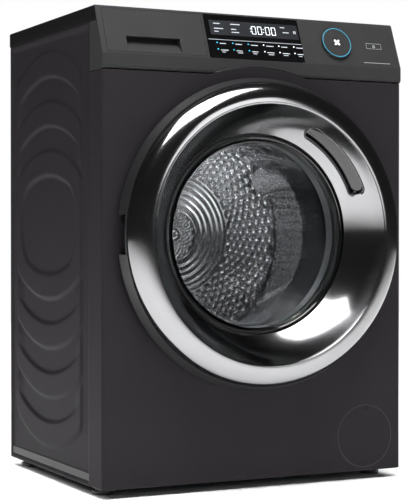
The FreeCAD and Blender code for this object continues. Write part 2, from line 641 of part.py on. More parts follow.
def tub():
    wall_radius = "(tub_bore + tub_wall)"
    front_corners = [
        ("tub_neck", inward(34)), ("tub_neck + neck_wall", inward(34)), ("tub_neck + neck_wall", inward(50)),
        (wall_radius, inward(50)), (wall_radius, inward(222)), ("tub_flange", inward(222)),
        ("tub_flange", inward(230)), ("tub_bore", inward(230)), ("tub_bore", inward(55)),
        ("tub_neck", inward(55)),
    ]
    spout_y = inward(75)
    spout = rod_z("sump_x", spout_y, "sump_radius", (180, f"{AXIS} - 236"))
    drain = rod_z("sump_x", spout_y, "sump_radius - 3", (179, f"{AXIS} - 230"))
    clear = rod_y(0, AXIS, "tub_bore", (inward(56), inward(229)))
    node("tub_front_shell", cut(fuse(turned(front_corners), spout), drain, clear))

    rear_corners = [
        ("tub_bore", inward(231)), ("tub_flange", inward(231)), ("tub_flange", inward(239)),
        (wall_radius, inward(239)), (wall_radius, inward(400)), ("hub_radius", inward(400)),
        ("hub_radius", inward(424)), ("bearing_radius", inward(424)), ("bearing_radius", inward(390)),
        ("hub_radius", inward(390)), ("hub_radius", inward(395)), ("tub_bore", inward(395)),
    ]
    ribs = [spoke(angle, 40, 250, 2, (inward(399), inward(406))) for angle in range(0, 360, 45)]
    lugs = []
    for side in (-1, 1):
        ear_x = (f"{side} * spring_x - 10", f"{side} * spring_x + 10")
        lugs.append(box(ear_x, ("spring_y - 6", "spring_y + 6"), (f"{AXIS} + 85", "spring_foot - 2")))
        rod_x = (f"{side} * damper_x - 10", f"{side} * damper_x + 10")
        lugs.append(box(rod_x, ("damper_y - 8", "damper_y + 8"), (246, f"{AXIS} - 180")))
    lugs += [box((x, x + 10), (inward(360), inward(368)), (167, 205)) for x in (-62, -8)]
    well = box((-75, 75), (inward(270), inward(360)), (176, 215))
    well_bore = box((-71, 71), (inward(274), inward(356)), (180, 230))
    heater_hole = box((12, 68), (inward(350), inward(362)), (183, 193))
    clear = rod_y(0, AXIS, "tub_bore", (inward(230), inward(395)))
    shell = fuse(turned(rear_corners), *ribs, *lugs, well)
    node("tub_rear_shell", cut(shell, clear, well_bore, heater_hole))

    element = pipe([(20, inward(372), 188), (20, inward(285), 188), (60, inward(285), 188),
                    (60, inward(372), 188)],
                   3.25, 14)
    flange = box((8, 72), (inward(360.2), inward(363)), (180, 195.4))
    node("heater_element", fuse(element, flange))

    gasket_corners = [
        (175.3, inward(48)), (178.3, inward(48)), (178.3, inward(35)), (199, inward(35)), (199, inward(20)),
        (204.4, inward(16)), (204.4, inward(1.5)), (201.4, inward(1.5)), (201.4, inward(15)),
        (171, inward(17)),
        (170, inward(21)), (195.5, inward(22)), (195.5, inward(32)), (175.3, inward(32)),
    ]
    node("door_gasket", turned(gasket_corners))


def counterweights():
    disc = ring(206, 252, (inward(30), inward(49.6)))
    window = box((-260, 260), (inward(20), inward(60)), (f"{AXIS} - 62", f"{AXIS} + 62"))
    node("front_counterweight", cut(disc, window))
    block = box((-90, 90), (inward(80), inward(218)), (690, 762))
    node("top_counterweight",
         cut(block, rod_y(0, AXIS, "tub_bore + tub_wall + 0.4", (inward(60), inward(230)))))


def suspension():
    """Two springs that hang the tub, and two friction dampers that stand on the base."""
    def coil(side):
        turns, coil_low, coil_high = 14, number("spring_foot + 18"), number("spring_top - 18")
        radius = number("spring_radius")
        helix = Part.makeHelix((coil_high - coil_low) / turns, coil_high - coil_low, radius)
        helix.translate(FreeCAD.Vector(0, 0, coil_low))
        wire = number("spring_wire")
        section = Part.Wire([Part.Circle(FreeCAD.Vector(radius, 0, coil_low), FreeCAD.Vector(0, 1, 0),
                                         wire).toShape()])
        body = Part.Wire(helix.Edges).makePipeShell([section], True, True)
        legs = []
        for low, high in ((number("spring_foot"), coil_low), (coil_high, number("spring_top"))):
            legs.append(Part.makeCylinder(wire, high - low, FreeCAD.Vector(radius, 0, low)))
        item = document.addObject("Part::Feature", "Spring")
        item.Shape = body.fuse(legs)
        return place(item, f"{side} * spring_x", "spring_y", 0)
    node("suspension_springs", group(coil(-1), coil(1)))

    cylinders, rods = [], []
    for side in (-1, 1):
        x = f"{side} * damper_x"
        barrel = rod_z(x, "damper_y", "damper_radius", (31, 170))
        bore = rod_z(x, "damper_y", "rod_radius + 0.4", (80, 171))
        cylinders.append(cut(barrel, bore))
        rods.append(rod_z(x, "damper_y", "rod_radius", (95, 245.8)))
    node("damper_cylinders", group(*cylinders))
    node("damper_rods", group(*rods))


def motor():
    """The belt motor: housing with its feet, rotor, shaft and small pulley."""
    x, z = "motor_x", "motor_height"
    casing = turned([
        ("motor_shaft + 0.4", inward(282)), ("motor_radius", inward(282)), ("motor_radius", inward(398)),
        ("motor_shaft + 0.4", inward(398)), ("motor_shaft + 0.4", inward(394)),
        ("motor_radius - 8", inward(394)),
        ("motor_radius - 8", inward(286)), ("motor_shaft + 0.4", inward(286)),
    ], x, z)
    feet = [
        box((low, low + 10), (inward(368.3), inward(374)), ("motor_height + 30", 186)) for low in (-62, -8)
    ]
    node("motor_housing",
         cut(fuse(casing, *feet), rod_y(x, z, "motor_radius - 8", (inward(287), inward(393)))))
    shaft = rod_y(x, z, "motor_shaft", (inward(276), inward(447)))
    core = rod_y(x, z, "motor_radius - 10", (inward(300), inward(380)))
    commutator = rod_y(x, z, 14, (inward(289), inward(299)))
    pulley = turned([
        (5, inward(427)), ("motor_pulley_radius + 2", inward(427)),
        ("motor_pulley_radius + 2", inward(428.5)),
        ("motor_pulley_radius", inward(429)), ("motor_pulley_radius", inward(445)), (5, inward(445)),
    ], x, z)
    node("motor_rotor", fuse(shaft, core, commutator, pulley))


def belt():
    """A flat ribbed belt round both pulleys, standing just off them."""
    far = FreeCAD.Vector(0, 0, number(AXIS))
    near = FreeCAD.Vector(number("motor_x"), 0, number("motor_height"))

    def loop(offset):
        """The band round two circles: each circle grown by the offset, and the tangents between them."""
        big, small = number("pulley_radius") + offset, number("motor_pulley_radius") + offset
        way = near - far
        length = way.Length
        way.normalize()
        side = FreeCAD.Vector(way.z, 0, -way.x)
        cosine = (big - small) / length
        sine = math.sqrt(1 - cosine * cosine)
        normals = [way * cosine + side * sine, way * cosine - side * sine]
        corners = [far + normals[0] * big, near + normals[0] * small, near + normals[1] * small,
                   far + normals[1] * big]
        edges = [
            Part.LineSegment(corners[0], corners[1]).toShape(),
            Part.Arc(corners[1], near + way * small, corners[2]).toShape(),
            Part.LineSegment(corners[2], corners[3]).toShape(),
            Part.Arc(corners[3], far - way * big, corners[0]).toShape(),
        ]
        return Part.Face(Part.Wire(edges))

    gap = number("belt_gap")
    face = loop(gap + number("belt_thickness")).cut(loop(gap))
    item = document.addObject("Part::Feature", "Belt")
    item.Shape = face.extrude(FreeCAD.Vector(0, 14, 0)).Solids[0]
    node("drive_belt", place(item, 0, inward(430), 0))


def sump_hose():
    y = inward(75)
    route = [("sump_x", y, 205), ("sump_x", y, "hatch_height"),
             ("hatch_x - filter_radius - 14", y, "hatch_height")]
    node("sump_hose", pipe(route, "sump_radius + 3", 40, "sump_radius + 0.3"))


# ---------------------------------------------------------------- drum

LIFTER_ANGLES = (30, 150, 270)


def drum():
    front, back = inward(62), inward(370)
    barrel = [
        ("drum_radius - drum_sheet", front), ("drum_radius", front), ("drum_radius", f"{back} + drum_sheet"),
        (16, f"{back} + drum_sheet"), (16, back), ("drum_radius - drum_sheet", back),
    ]
    node("drum_shell", turned(barrel))
    mouth = [
        ("drum_mouth", inward(64)), ("drum_mouth", inward(58.5)), ("drum_radius", inward(58.5)),
        ("drum_radius", inward(61.8)), ("drum_mouth + 3", inward(61.8)), ("drum_mouth + 3", inward(64)),
    ]
    node("drum_front_ring", turned(mouth))
    lifters = []
    for turn in LIFTER_ANGLES:
        solid, hollow = (
            place(
                prism("XZ", [
                    (f"lifter_base - {wall}", 234),
                    (f"lifter_tip - {wall}", f"234 - lifter_height + {wall}"),
                    (f"{wall} - lifter_tip", f"234 - lifter_height + {wall}"),
                    (f"{wall} - lifter_base", 234),
                ], f"lifter_length - 2 * {wall}"),
                0, inward(f"360 - {wall}"), AXIS, axis=(0, 1, 0), angle=90 - turn)
            for wall in (0, "lifter_wall")
        )
        lifters.append(cut(solid, hollow))
    node("drum_lifters", group(*lifters))
    hub = ring("shaft_radius", 34, (inward("371.4"), inward(386)))
    arms = [spoke(angle, 30, 224, 14, (inward(372), inward(384))) for angle in LIFTER_ANGLES]
    shaft = rod_y(0, AXIS, "shaft_radius", (inward(372), inward(446)))
    clear = rod_y(0, AXIS, "shaft_radius", (inward(371), inward(387)))
    node("drum_spider", fuse(cut(fuse(hub, *arms), clear), shaft))
    bearing_in, bearing_out = "shaft_radius + 0.05", "bearing_radius - 0.05"
    node("drum_bearings_and_seal", group(*[
        ring(bearing_in, bearing_out, (inward(low), inward(high)))
        for low, high in ((391, 397), (399, 410), (412, 423))]))
    wheel = [
        ("shaft_radius + 0.02", inward(427)), (28, inward(427)), (28, inward(434)), (135, inward(434)),
        (135, inward(429)), ("pulley_radius", inward(429)), ("pulley_radius", inward(445)),
        (135, inward(445)),
        (135, inward(438)), (28, inward(438)), (28, inward(446)), ("shaft_radius + 0.02", inward(446)),
    ]
    windows = [
        rod_y(f"82 * cos({angle})", f"{AXIS} + 82 * sin({angle})", 30, (inward(430), inward(440)))
        for angle in range(0, 360, 60)
    ]
    node("drum_pulley", cut(turned(wheel), *windows))


# ---------------------------------------------------------------- door

def quarter(radius_reach, height_reach, from_angle, to_angle, step):
    """Points of the crest's rounding, by formula."""
    return [
        (f"ridge_radius + ({radius_reach}) * cos({angle})",
         out(f"rim_height + ({height_reach}) * sin({angle})"))
        for angle in range(from_angle, to_angle, step)
    ]


def door():
    """A ring door: black frame, bright crest, funnel down to the glass bowl, and a clamping frame behind."""
    reach, rise = "(door_radius - ridge_radius)", "(door_depth - rim_height)"
    skin = 2.5
    crest = quarter(reach, rise, 0, 91, 10) + [("ridge_radius - 2.4", out("door_depth - 1.2"))]
    crest += [("ridge_radius - 1.5", out(f"door_depth - {skin}"))]
    crest += quarter(f"{reach} - {skin}", f"{rise} - {skin}", 90, -1, -10)
    node("door_chrome_ring", turned(crest))

    notch = box(("hinge_x - 20", "hinge_x + 12"), (out(27), out(0)), (f"{AXIS} - 34", f"{AXIS} + 34"))
    side = [
        ("door_radius - 6", out("door_standoff")), ("door_radius - 2", out("door_standoff")),
        ("frame_radius", out(9)), ("frame_radius", out(13)), ("door_radius + 0.6", out("rim_height - 0.2")),
        ("door_radius - 3", out("rim_height - 0.2")), ("frame_radius - 3.5", out(13)),
        ("frame_radius - 3.5", out(10.5)), ("door_radius - 6.5", out(6)),
    ]
    node("door_outer_frame", cut(turned(side), notch))

    clamp = [
        (186.5, inward(9)), (196, inward(9)), (196, out("door_standoff")),
        ("door_radius - 6.5", out("door_standoff")),
        ("door_radius - 6.8", out(5)), (193, out(5)), (193, inward(5.5)), (186.5, inward(5.5)),
    ]
    clamp_notch = box(("hinge_x - 20", "hinge_x + 12"), (out(27), out(0)), (f"{AXIS} - 34", f"{AXIS} + 34"))
    hook_slot = box(("hook_x - 6", "hook_x + 10"), (out(10), out(0)), (f"{AXIS} - 14", f"{AXIS} + 14"))
    node("door_rear_frame", cut(turned(clamp), clamp_notch, hook_slot))

    funnel = [
        ("window_radius", inward(4)), ("window_radius + 4", inward(4)),
        ("ridge_radius + 1", out(58)), ("ridge_radius - 2.5", out(59)),
    ]
    pocket_outer = [(183.2, out(5.6)), (211.8, out(39)), (226, out(25)), (208, out(5.4))]
    pocket_inner = [(180, out(9.5)), (205, out(38.5)), (222.5, out(24.5)), (206.5, out(8))]
    pocket = turned(pocket_outer, sweep=45, start=20.5)
    hand_space = turned(pocket_inner, sweep=42, start=22)
    node("door_funnel", cut(fuse(turned(funnel), pocket), hand_space))

    bowl = [
        (185.5, inward(4.5)), (185.5, inward(8.5)), (170.2, inward(9)), (167.5, inward(20)),
        (160, inward(50)),
        (146, inward(78)), (120, inward(97)), (80, inward(106)), (0, inward(109)), (0, inward(105)),
        (79, inward(102)), (117.5, inward(93.3)), (142.5, inward(75.5)), (156, inward(49)),
        (163.5, inward(19.5)),
        (166, inward(4.5)),
    ]
    node("door_glass", turned(bowl))

    knuckle = rod_z("hinge_x", out("hinge_out"), 4.5, (f"{AXIS} - ear_low + 0.5", f"{AXIS} + ear_low - 0.5"))
    leaf = box(("hinge_x", "hinge_x + 38"), (out("hinge_out"), out("hinge_out - 4")),
               (f"{AXIS} - 25", f"{AXIS} + 25"))
    foot = box(("hinge_x + 26", "hinge_x + 38"), (out("hinge_out - 1"), out(5.1)),
               (f"{AXIS} - 25", f"{AXIS} + 25"))
    bore = rod_z("hinge_x", out("hinge_out"), "pin_radius + pin_play", (f"{AXIS} - 40", f"{AXIS} + 40"))
    node("door_hinge_arm", cut(fuse(knuckle, leaf, foot), bore))

    shank = box(("hook_x - 3", "hook_x + 3"), (out(12), inward(18)), (f"{AXIS} - 12", f"{AXIS} + 12"))
    nose = box(("hook_x + 2", "hook_x + 7"), (inward(12), inward(18)), (f"{AXIS} - 12", f"{AXIS} + 12"))
    knuckle = rod_z("hook_x", out(8), 4, (f"{AXIS} - 12", f"{AXIS} + 12"))
    node("door_hook", fuse(shank, nose, knuckle))


# ---------------------------------------------------------------- hatch, filter and drain pump

def drain():
    x, z = "hatch_x", "hatch_height"
    disc = rod_y(x, z, "hatch_radius", (out(0.3), inward(2.2)))
    notch = box((f"{x} - 6", f"{x} + 6"), (out(1), inward(1)),
                (f"{z} + hatch_radius - 8", f"{z} + hatch_radius + 1"))
    node("filter_hatch", cut(disc, notch))

    housing = turned([
        ("filter_radius", inward(7)), ("filter_radius + 9", inward(7)), ("filter_radius + 9", inward(10)),
        ("filter_radius + filter_wall", inward(10)), ("filter_radius + filter_wall", inward(100)),
        ("volute_radius", inward(100)), ("volute_radius", inward(135)), (6, inward(135)), (6, inward(131)),
        ("volute_radius - 4", inward(131)), ("volute_radius - 4", inward(104)), (18, inward(104)),
        (18, inward(100)),
        ("filter_radius", inward(100)),
    ], x, z)
    inlet = cylinder("X", (f"{x} - filter_radius - 22", inward(75), z), 17, 20)
    inlet_bore = cylinder("X", (f"{x} - filter_radius - 23", inward(75), z), 14, 30)
    riser = rod_z(f"{x} + 20", inward(118), 9, (f"{z} + 30", f"{z} + 75"))
    riser_bore = rod_z(f"{x} + 20", inward(118), 7, (f"{z} + 20", f"{z} + 76"))
    inside = rod_y(x, z, "filter_radius", (inward(6), inward(99)))
    node("pump_housing", cut(fuse(housing, inlet, riser), inlet_bore, riser_bore, inside))

    windings = rod_y(x, z, 27, (inward(136), inward(190)))
    bracket = box((f"{x} - 30", f"{x} + 30"), (inward(150), inward(180)), (f"{z} - 31", f"{z} - 24"))
    bore = rod_y(x, z, 3.4, (inward(130), inward(186)))
    node("pump_motor", cut(fuse(windings, bracket), bore))
    shaft = rod_y(x, z, 3, (inward(112), inward(180)))
    hub = rod_y(x, z, 8, (inward(112), inward(127)))
    blades = fuse(box((f"{x} - 24", f"{x} + 24"), (inward(113), inward(126)), (f"{z} - 1.5", f"{z} + 1.5")),
                  box((f"{x} - 1.5", f"{x} + 1.5"), (inward(113), inward(126)), (f"{z} - 24", f"{z} + 24")))
    node("pump_impeller", fuse(shaft, hub, blades))

    cap = rod_y(x, z, "filter_radius - 0.5", (inward(8), inward(18)))
    bar = box((f"{x} - 22", f"{x} + 22"), (inward(4.5), inward(9)), (f"{z} - 5", f"{z} + 5"))
    basket = ring("filter_radius - 7", "filter_radius - 4.5", (inward(17), inward(88)), x, z)
    node("filter_cap", fuse(cap, bar, basket))

    riser_x = f"({x} + 20)"
    route = [
        (riser_x, inward(118), f"{z} + 52"), (riser_x, inward(118), "outlet_height"),
        (riser_x, inward(210), "outlet_height"), ("outlet_x", inward(300), "outlet_height"),
        ("outlet_x", from_back(-14), "outlet_height"),
    ]
    node("drain_hose_inner", pipe(route, 11.5, 30, 9.2))
    stub = rod_y("outlet_x", "outlet_height", 9, (from_back(-30), from_back(-1.2)))
    collar = rod_y("outlet_x", "outlet_height", 17, (from_back(-1.2), from_back(1.5)))
    spigot = rod_y("outlet_x", "outlet_height", "outlet_radius",
                   (from_back(1), from_back("worktop_overhang - 0.2")))
    bore = rod_y("outlet_x", "outlet_height", 7, (from_back(-40), from_back(20)))
    node("drain_outlet", cut(fuse(stub, collar, spigot), bore))


# ---------------------------------------------------------------- feet

def feet():
    for name, x, y in (("front_left", -1, inward("foot_front")), ("front_right", 1, inward("foot_front")),
                       ("rear_left", -1, from_back("0 - foot_back")),
                       ("rear_right", 1, from_back("0 - foot_back"))):
        foot_x = f"{x} * foot_x"
        pad = rod_z(foot_x, y, "pad_radius", (0, "pad_height - 3"))
        shoulder = rod_z(foot_x, y, "pad_radius - 5", ("pad_height - 3.5", "pad_height"))
        stem = rod_z(foot_x, y, "stem_radius", ("pad_height - 1", "stem_top"))
        node(f"foot_{name}", fuse(pad, shoulder, stem))


side_panel("left_side_panel", -1)
side_panel("right_side_panel", 1)
front_panel()
base_frame()
rear_panel()
worktop()
crossbar()
fascia()
display()
controls()
dispenser()
water_inlet()
electrics()
door_fittings()
tub()
counterweights()
suspension()
motor()
belt()
sump_hose()
drum()
door()
drain()
feet()

document.recompute()
for item in document.Objects:
    if "Invalid" in item.State or "Error" in item.State:
        raise RuntimeError(f"{item.Label} failed: {item.State}")
for item in nodes:
    if item.Shape.isNull() or not item.Shape.isValid():
        raise RuntimeError(f"{item.Label} has no valid shape")

os.makedirs(OUTPUT_FOLDER, exist_ok=True)
for item in nodes:
    item.Shape.exportStep(f"{OUTPUT_FOLDER}/{item.Label}.step")
    bounds = item.Shape.BoundBox
    print(item.Label, len(item.Shape.Solids), "solids", round(item.Shape.Volume / 1000, 1), "cm3",
          [round(value, 1) for value in (
              bounds.XMin, bounds.XMax, bounds.YMin, bounds.YMax, bounds.ZMin, bounds.ZMax)])
print(len(nodes), "nodes")
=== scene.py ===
"""Looks of the front-loading washing machine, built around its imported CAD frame.

Lengths are written in millimetres and turned into metres where a mesh is made. +X is to the right of someone
facing the machine, +Y goes to its back and +Z up. The front panel's face is at y = FACE.
"""
import json
import math

import bpy
import bmesh
import numpy as np
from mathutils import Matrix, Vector


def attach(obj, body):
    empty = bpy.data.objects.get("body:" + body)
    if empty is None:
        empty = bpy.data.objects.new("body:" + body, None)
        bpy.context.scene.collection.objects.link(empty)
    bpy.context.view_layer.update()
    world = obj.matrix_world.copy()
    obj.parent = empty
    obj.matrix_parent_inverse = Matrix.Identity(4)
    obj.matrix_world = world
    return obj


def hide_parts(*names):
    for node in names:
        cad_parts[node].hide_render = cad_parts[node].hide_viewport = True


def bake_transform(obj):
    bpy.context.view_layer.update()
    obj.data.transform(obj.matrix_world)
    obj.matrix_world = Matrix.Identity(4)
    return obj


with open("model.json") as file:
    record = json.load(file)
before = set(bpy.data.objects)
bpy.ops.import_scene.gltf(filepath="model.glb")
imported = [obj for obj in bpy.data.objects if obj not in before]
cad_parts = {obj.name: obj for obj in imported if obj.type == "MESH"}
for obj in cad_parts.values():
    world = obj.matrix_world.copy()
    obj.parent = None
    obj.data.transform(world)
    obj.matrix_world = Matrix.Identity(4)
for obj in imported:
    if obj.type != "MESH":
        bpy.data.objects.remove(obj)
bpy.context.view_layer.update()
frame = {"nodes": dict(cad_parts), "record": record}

MM = 0.001
FACE = -210.0                   # the front panel's face
BACK = 260.0                    # the rear panel's face
AXIS = 451.0                    # height of the door's and drum's common axis
BEND = 760.0                    # height where the control face starts to lean back
TILT = math.radians(21.8)       # how far it leans
HALF_WIDTH = 300.0


# ---------------------------------------------------------------- materials

def new_material(name):
    material = bpy.data.materials.new(name)
    material.use_nodes = True
    return material, material.node_tree.nodes, material.node_tree.links


def surface(name, colour, roughness, metallic=0.0, scale=60.0, spread=0.06, grain=1500.0, relief=0.00002,
            stretch=(1, 1, 1), uneven=0.04, **sockets):
    """A plain finish with fine grain: its colour and roughness drift a little over the surface."""
    material, nodes, links = new_material(name)
    shader = nodes["Principled BSDF"]
    shader.inputs["Metallic"].default_value = metallic
    for socket, value in sockets.items():
        shader.inputs[socket.replace("_", " ")].default_value = value
    place = nodes.new("ShaderNodeTexCoord")
    mapping = nodes.new("ShaderNodeMapping")
    mapping.inputs["Scale"].default_value = stretch
    links.new(place.outputs["Object"], mapping.inputs["Vector"])
    cloud = nodes.new("ShaderNodeTexNoise")
    cloud.inputs["Scale"].default_value = scale
    cloud.inputs["Detail"].default_value = 4.0
    links.new(mapping.outputs["Vector"], cloud.inputs["Vector"])
    ramp = nodes.new("ShaderNodeValToRGB")
    ramp.color_ramp.elements[0].position = 0.3
    ramp.color_ramp.elements[1].position = 0.7
    for element, share in zip(ramp.color_ramp.elements, (1 - spread, 1 + spread)):
        element.color = (*(channel * share for channel in colour), 1.0)
    links.new(cloud.outputs["Fac"], ramp.inputs["Fac"])
    links.new(ramp.outputs["Color"], shader.inputs["Base Color"])
    span = nodes.new("ShaderNodeMapRange")
    span.inputs["To Min"].default_value = max(roughness - uneven, 0.0)
    span.inputs["To Max"].default_value = roughness + uneven
    links.new(cloud.outputs["Fac"], span.inputs["Value"])
    links.new(span.outputs["Result"], shader.inputs["Roughness"])
    specks = nodes.new("ShaderNodeTexNoise")
    specks.inputs["Scale"].default_value = grain
    specks.inputs["Detail"].default_value = 2.0
    links.new(mapping.outputs["Vector"], specks.inputs["Vector"])
    bump = nodes.new("ShaderNodeBump")
    bump.inputs["Strength"].default_value = 1.0
    bump.inputs["Distance"].default_value = relief
    links.new(specks.outputs["Fac"], bump.inputs["Height"])
    links.new(bump.outputs["Normal"], shader.inputs["Normal"])
    return material


def glowing(name, colour, strength):
    material = surface(name, colour, 0.4)
    shader = material.node_tree.nodes["Principled BSDF"]
    shader.inputs["Emission Color"].default_value = (*colour, 1.0)
    shader.inputs["Emission Strength"].default_value = strength
    return material


PAINTS = {
    "cabinet_paint": surface("graphite_enamel", (0.0225, 0.0200, 0.0228), 0.5, 0.0, scale=14, spread=0.05,
                             grain=2600, relief=0.000012, IOR=1.12),
    "fascia_plastic": surface("satin_grey_plastic", (0.034, 0.034, 0.0344), 0.5, 0.0, scale=20, spread=0.04,
                              grain=3200, relief=0.00002, IOR=1.14),
    "worktop_laminate": surface("dark_laminate", (0.010, 0.010, 0.0105), 0.5, scale=260, spread=0.35,
                                grain=1900, relief=0.00003, IOR=1.08),
    "galvanised": surface("zinc_coated_steel", (0.46, 0.47, 0.49), 0.42, 0.9, scale=38, spread=0.2, grain=240,
                          relief=0.00002, uneven=0.12),
    "black_plastic": surface("black_moulded_plastic", (0.011, 0.011, 0.012), 0.42, scale=50, grain=2200,
                             relief=0.00003),
    "gloss_black": surface("piano_black", (0.003, 0.003, 0.0035), 0.06, scale=12, uneven=0.02, grain=300,
                           relief=0.000002, Coat_Weight=0.6, Coat_Roughness=0.03),
    "chrome": surface("black_chrome", (0.27, 0.27, 0.275), 0.13, 1.0, scale=12, spread=0.03, uneven=0.02,
                      grain=260, relief=0.000002),
    "stainless": surface("brushed_stainless", (0.36, 0.36, 0.37), 0.17, 1.0, scale=18, spread=0.08, grain=420,
                         relief=0.0000015, stretch=(1, 9, 1), uneven=0.05),
    "gasket_rubber": surface("grey_rubber", (0.016, 0.016, 0.017), 0.34, scale=30, spread=0.12, grain=900,
                             relief=0.00004),
    "hose_rubber": surface("black_rubber", (0.014, 0.014, 0.014), 0.62, scale=40, spread=0.15, grain=700,
                           relief=0.00006),
    "tub_plastic": surface("glass_filled_plastic", (0.10, 0.102, 0.106), 0.5, scale=90, spread=0.1, grain=800,
                           relief=0.00005),
    "white_plastic": surface("white_moulded_plastic", (0.72, 0.73, 0.74), 0.38, scale=40, spread=0.03,
                             grain=1500, relief=0.00002),
    "concrete": surface("cast_concrete", (0.3, 0.295, 0.28), 0.85, scale=70, spread=0.3, grain=420,
                        relief=0.0003),
    "cast_aluminium": surface("sand_cast_aluminium", (0.52, 0.53, 0.54), 0.46, 0.9, scale=60, spread=0.15,
                              grain=520, relief=0.0001),
    "motor_steel": surface("laminated_steel", (0.22, 0.23, 0.24), 0.4, 0.8, scale=30, spread=0.15, grain=900,
                           relief=0.00005, stretch=(1, 12, 1)),
    "black_steel": surface("black_coated_steel", (0.010, 0.010, 0.011), 0.45, 0.4, scale=40, spread=0.2,
                           grain=900, relief=0.00002),
    "bright_steel": surface("turned_steel", (0.56, 0.56, 0.57), 0.22, 1.0, scale=50, spread=0.08, grain=900,
                            relief=0.00001, stretch=(1, 1, 8)),
    "bowl_glass": surface("clear_pressed_glass", (0.93, 0.96, 0.96), 0.015, scale=10, spread=0.01,
                          uneven=0.01, grain=60, relief=0.000004, Transmission_Weight=1.0, IOR=1.1),
}
LAMP_WHITE = glowing("lamp_white", (0.86, 0.9, 0.95), 1.1)
LAMP_DIM = glowing("lamp_dim_white", (0.5, 0.53, 0.57), 0.3)
LAMP_TEAL = glowing("lamp_teal", (0.03, 0.42, 0.62), 0.9)
TEAL_RING = glowing("teal_ring_plastic", (0.02, 0.2, 0.3), 0.35)
PALE_MARK = surface("pale_printed_ink", (0.42, 0.43, 0.44), 0.45)
LCD_TINT = surface("lcd_back", (0.02, 0.021, 0.024), 0.2)

# Painted shade: the base frame under the cabinet takes a near-black zinc instead of its galvanised finish.
PAINTS["zinc_painted_shade"] = surface("zinc_darkened_as_shade", (0.05, 0.05, 0.052), 0.5, 0.6, scale=38, spread=0.15,
                              grain=240)
SHADE_OVERRIDES = {"base_frame": "zinc_painted_shade"}
for row in frame["record"]["subparts"]:
    painted = frame["nodes"][row["node"]]
    painted.data.materials.clear()
    painted.data.materials.append(PAINTS[SHADE_OVERRIDES.get(row["node"], row["material_slot"])])


# ---------------------------------------------------------------- mesh helpers

def piece(name, points, faces, paint, body, stands_for=(), smooth=40):
    """A mesh piece from millimetre points, riding on a body. Edges below the smooth angle are shaded round."""
    mesh = bpy.data.meshes.new(name)
    mesh.from_pydata([tuple(point) for point in np.asarray(points) * MM], [], [tuple(face) for face in faces])
    mesh.validate()
    mesh.shade_smooth()
    mesh.set_sharp_from_angle(angle=math.radians(smooth))
    item = bpy.data.objects.new(name, mesh)
    bpy.context.scene.collection.objects.link(item)
    if isinstance(paint, str):
        mesh.materials.append(PAINTS[paint])
    else:
        mesh.materials.append(paint)
    if stands_for:
        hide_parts(*stands_for)
    if body:
        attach(item, body)
    return item


def net(rows, columns, wrap_rows=False, wrap_columns=False):
    """Quads over a grid of points stored row by row."""
    faces = []
    for i in range(rows if wrap_rows else rows - 1):
        for j in range(columns if wrap_columns else columns - 1):
            a, b = i * columns + j, i * columns + (j + 1) % columns
            c, d = (i + 1) % rows * columns + (j + 1) % columns, (i + 1) % rows * columns + j
            faces.append((a, b, c, d))
    return faces


def full_turn(count):
    """Evenly spaced angles once round, in radians."""
    return np.linspace(0, 2 * math.pi, count, endpoint=False)


def turned_points(outline, x=0.0, z=AXIS, segments=240):
    """Points of an outline of (radius, y) turned about an axis along Y."""
    turn = full_turn(segments)[:, None]
    outline = np.asarray(outline, float)
    radius, along = outline[:, 0][None, :], outline[:, 1][None, :]
    points = np.stack([x + radius * np.cos(turn), along + 0 * turn, z + radius * np.sin(turn)], axis=-1)
    return points.reshape(-1, 3)


def turned(name, outline, paint, body, stands_for=(), x=0.0, z=AXIS, segments=240, smooth=40):
    """A closed outline of (radius, y), walked with the material on its left, turned into a solid."""
    faces = net(segments, len(outline), wrap_rows=True, wrap_columns=True)
    return piece(name, turned_points(outline, x, z, segments), faces, paint, body, stands_for, smooth)


def curve_through(points, steps=6):
    """A smooth line through points, with a few steps between each two."""
    points = np.asarray(points, float)
    padded = np.vstack([2 * points[0] - points[1], points, 2 * points[-1] - points[-2]])
    line = []
    for p0, p1, p2, p3 in zip(padded, padded[1:], padded[2:], padded[3:]):
        for t in np.arange(steps) / steps:
            line.append(0.5 * (2 * p1 + (p2 - p0) * t + (2 * p0 - 5 * p1 + 4 * p2 - p3) * t * t
                               + (3 * p1 - p0 - 3 * p2 + p3) * t ** 3))
    return line + [points[-1]]


def arc(centre, reach, first, last, steps):
    """Points on an ellipse arc, angles in degrees."""
    return [(centre[0] + reach[0] * math.cos(a), centre[1] + reach[1] * math.sin(a))
            for a in np.radians(np.linspace(first, last, steps))]


def in_front(points):
    """Turns (radius, distance in front of the panel) into (radius, y)."""
    return [(radius, FACE - distance) for radius, distance in points]


def give_thickness(item, name, thickness, offset):
    """Turns a skin into a sheet; offset -1 or 1 puts the metal behind or before the skin, 0 on both sides."""
    shell = item.modifiers.new(name, "SOLIDIFY")
    shell.thickness = thickness * MM
    shell.offset = offset


def smoothstep(low, high, value):
    """0 below low, 1 above high, and a smooth step between."""
    t = np.clip((np.asarray(value, float) - low) / (high - low), 0, 1)
    return t * t * (3 - 2 * t)


def on_face(x, up, lift=0.0):
    """A place on the tilted control face: up the slope from its bend, and lifted off it."""
    return (x, FACE - lift * math.cos(TILT) + up * math.sin(TILT),
            BEND + lift * math.sin(TILT) + up * math.cos(TILT))


# ---------------------------------------------------------------- cabinet

SIDE_FRONT, SIDE_LOW, SIDE_HIGH = -153.5, 15.0, 817.5
PRESSED_CENTRE, PRESSED_HALF, PRESSED_RADIUS = 57.0, 170.0, 310.0
RING_TOP, RING_BOTTOM, BAND_PITCH, BAND_HEIGHT = 608.5, 329.5, 90.8, 49.0
WINDOW_HALF = 143.0
PRESS_DEPTH = 3.2
REAR_LIP, FRONT_LIP = 18.0, 12.0


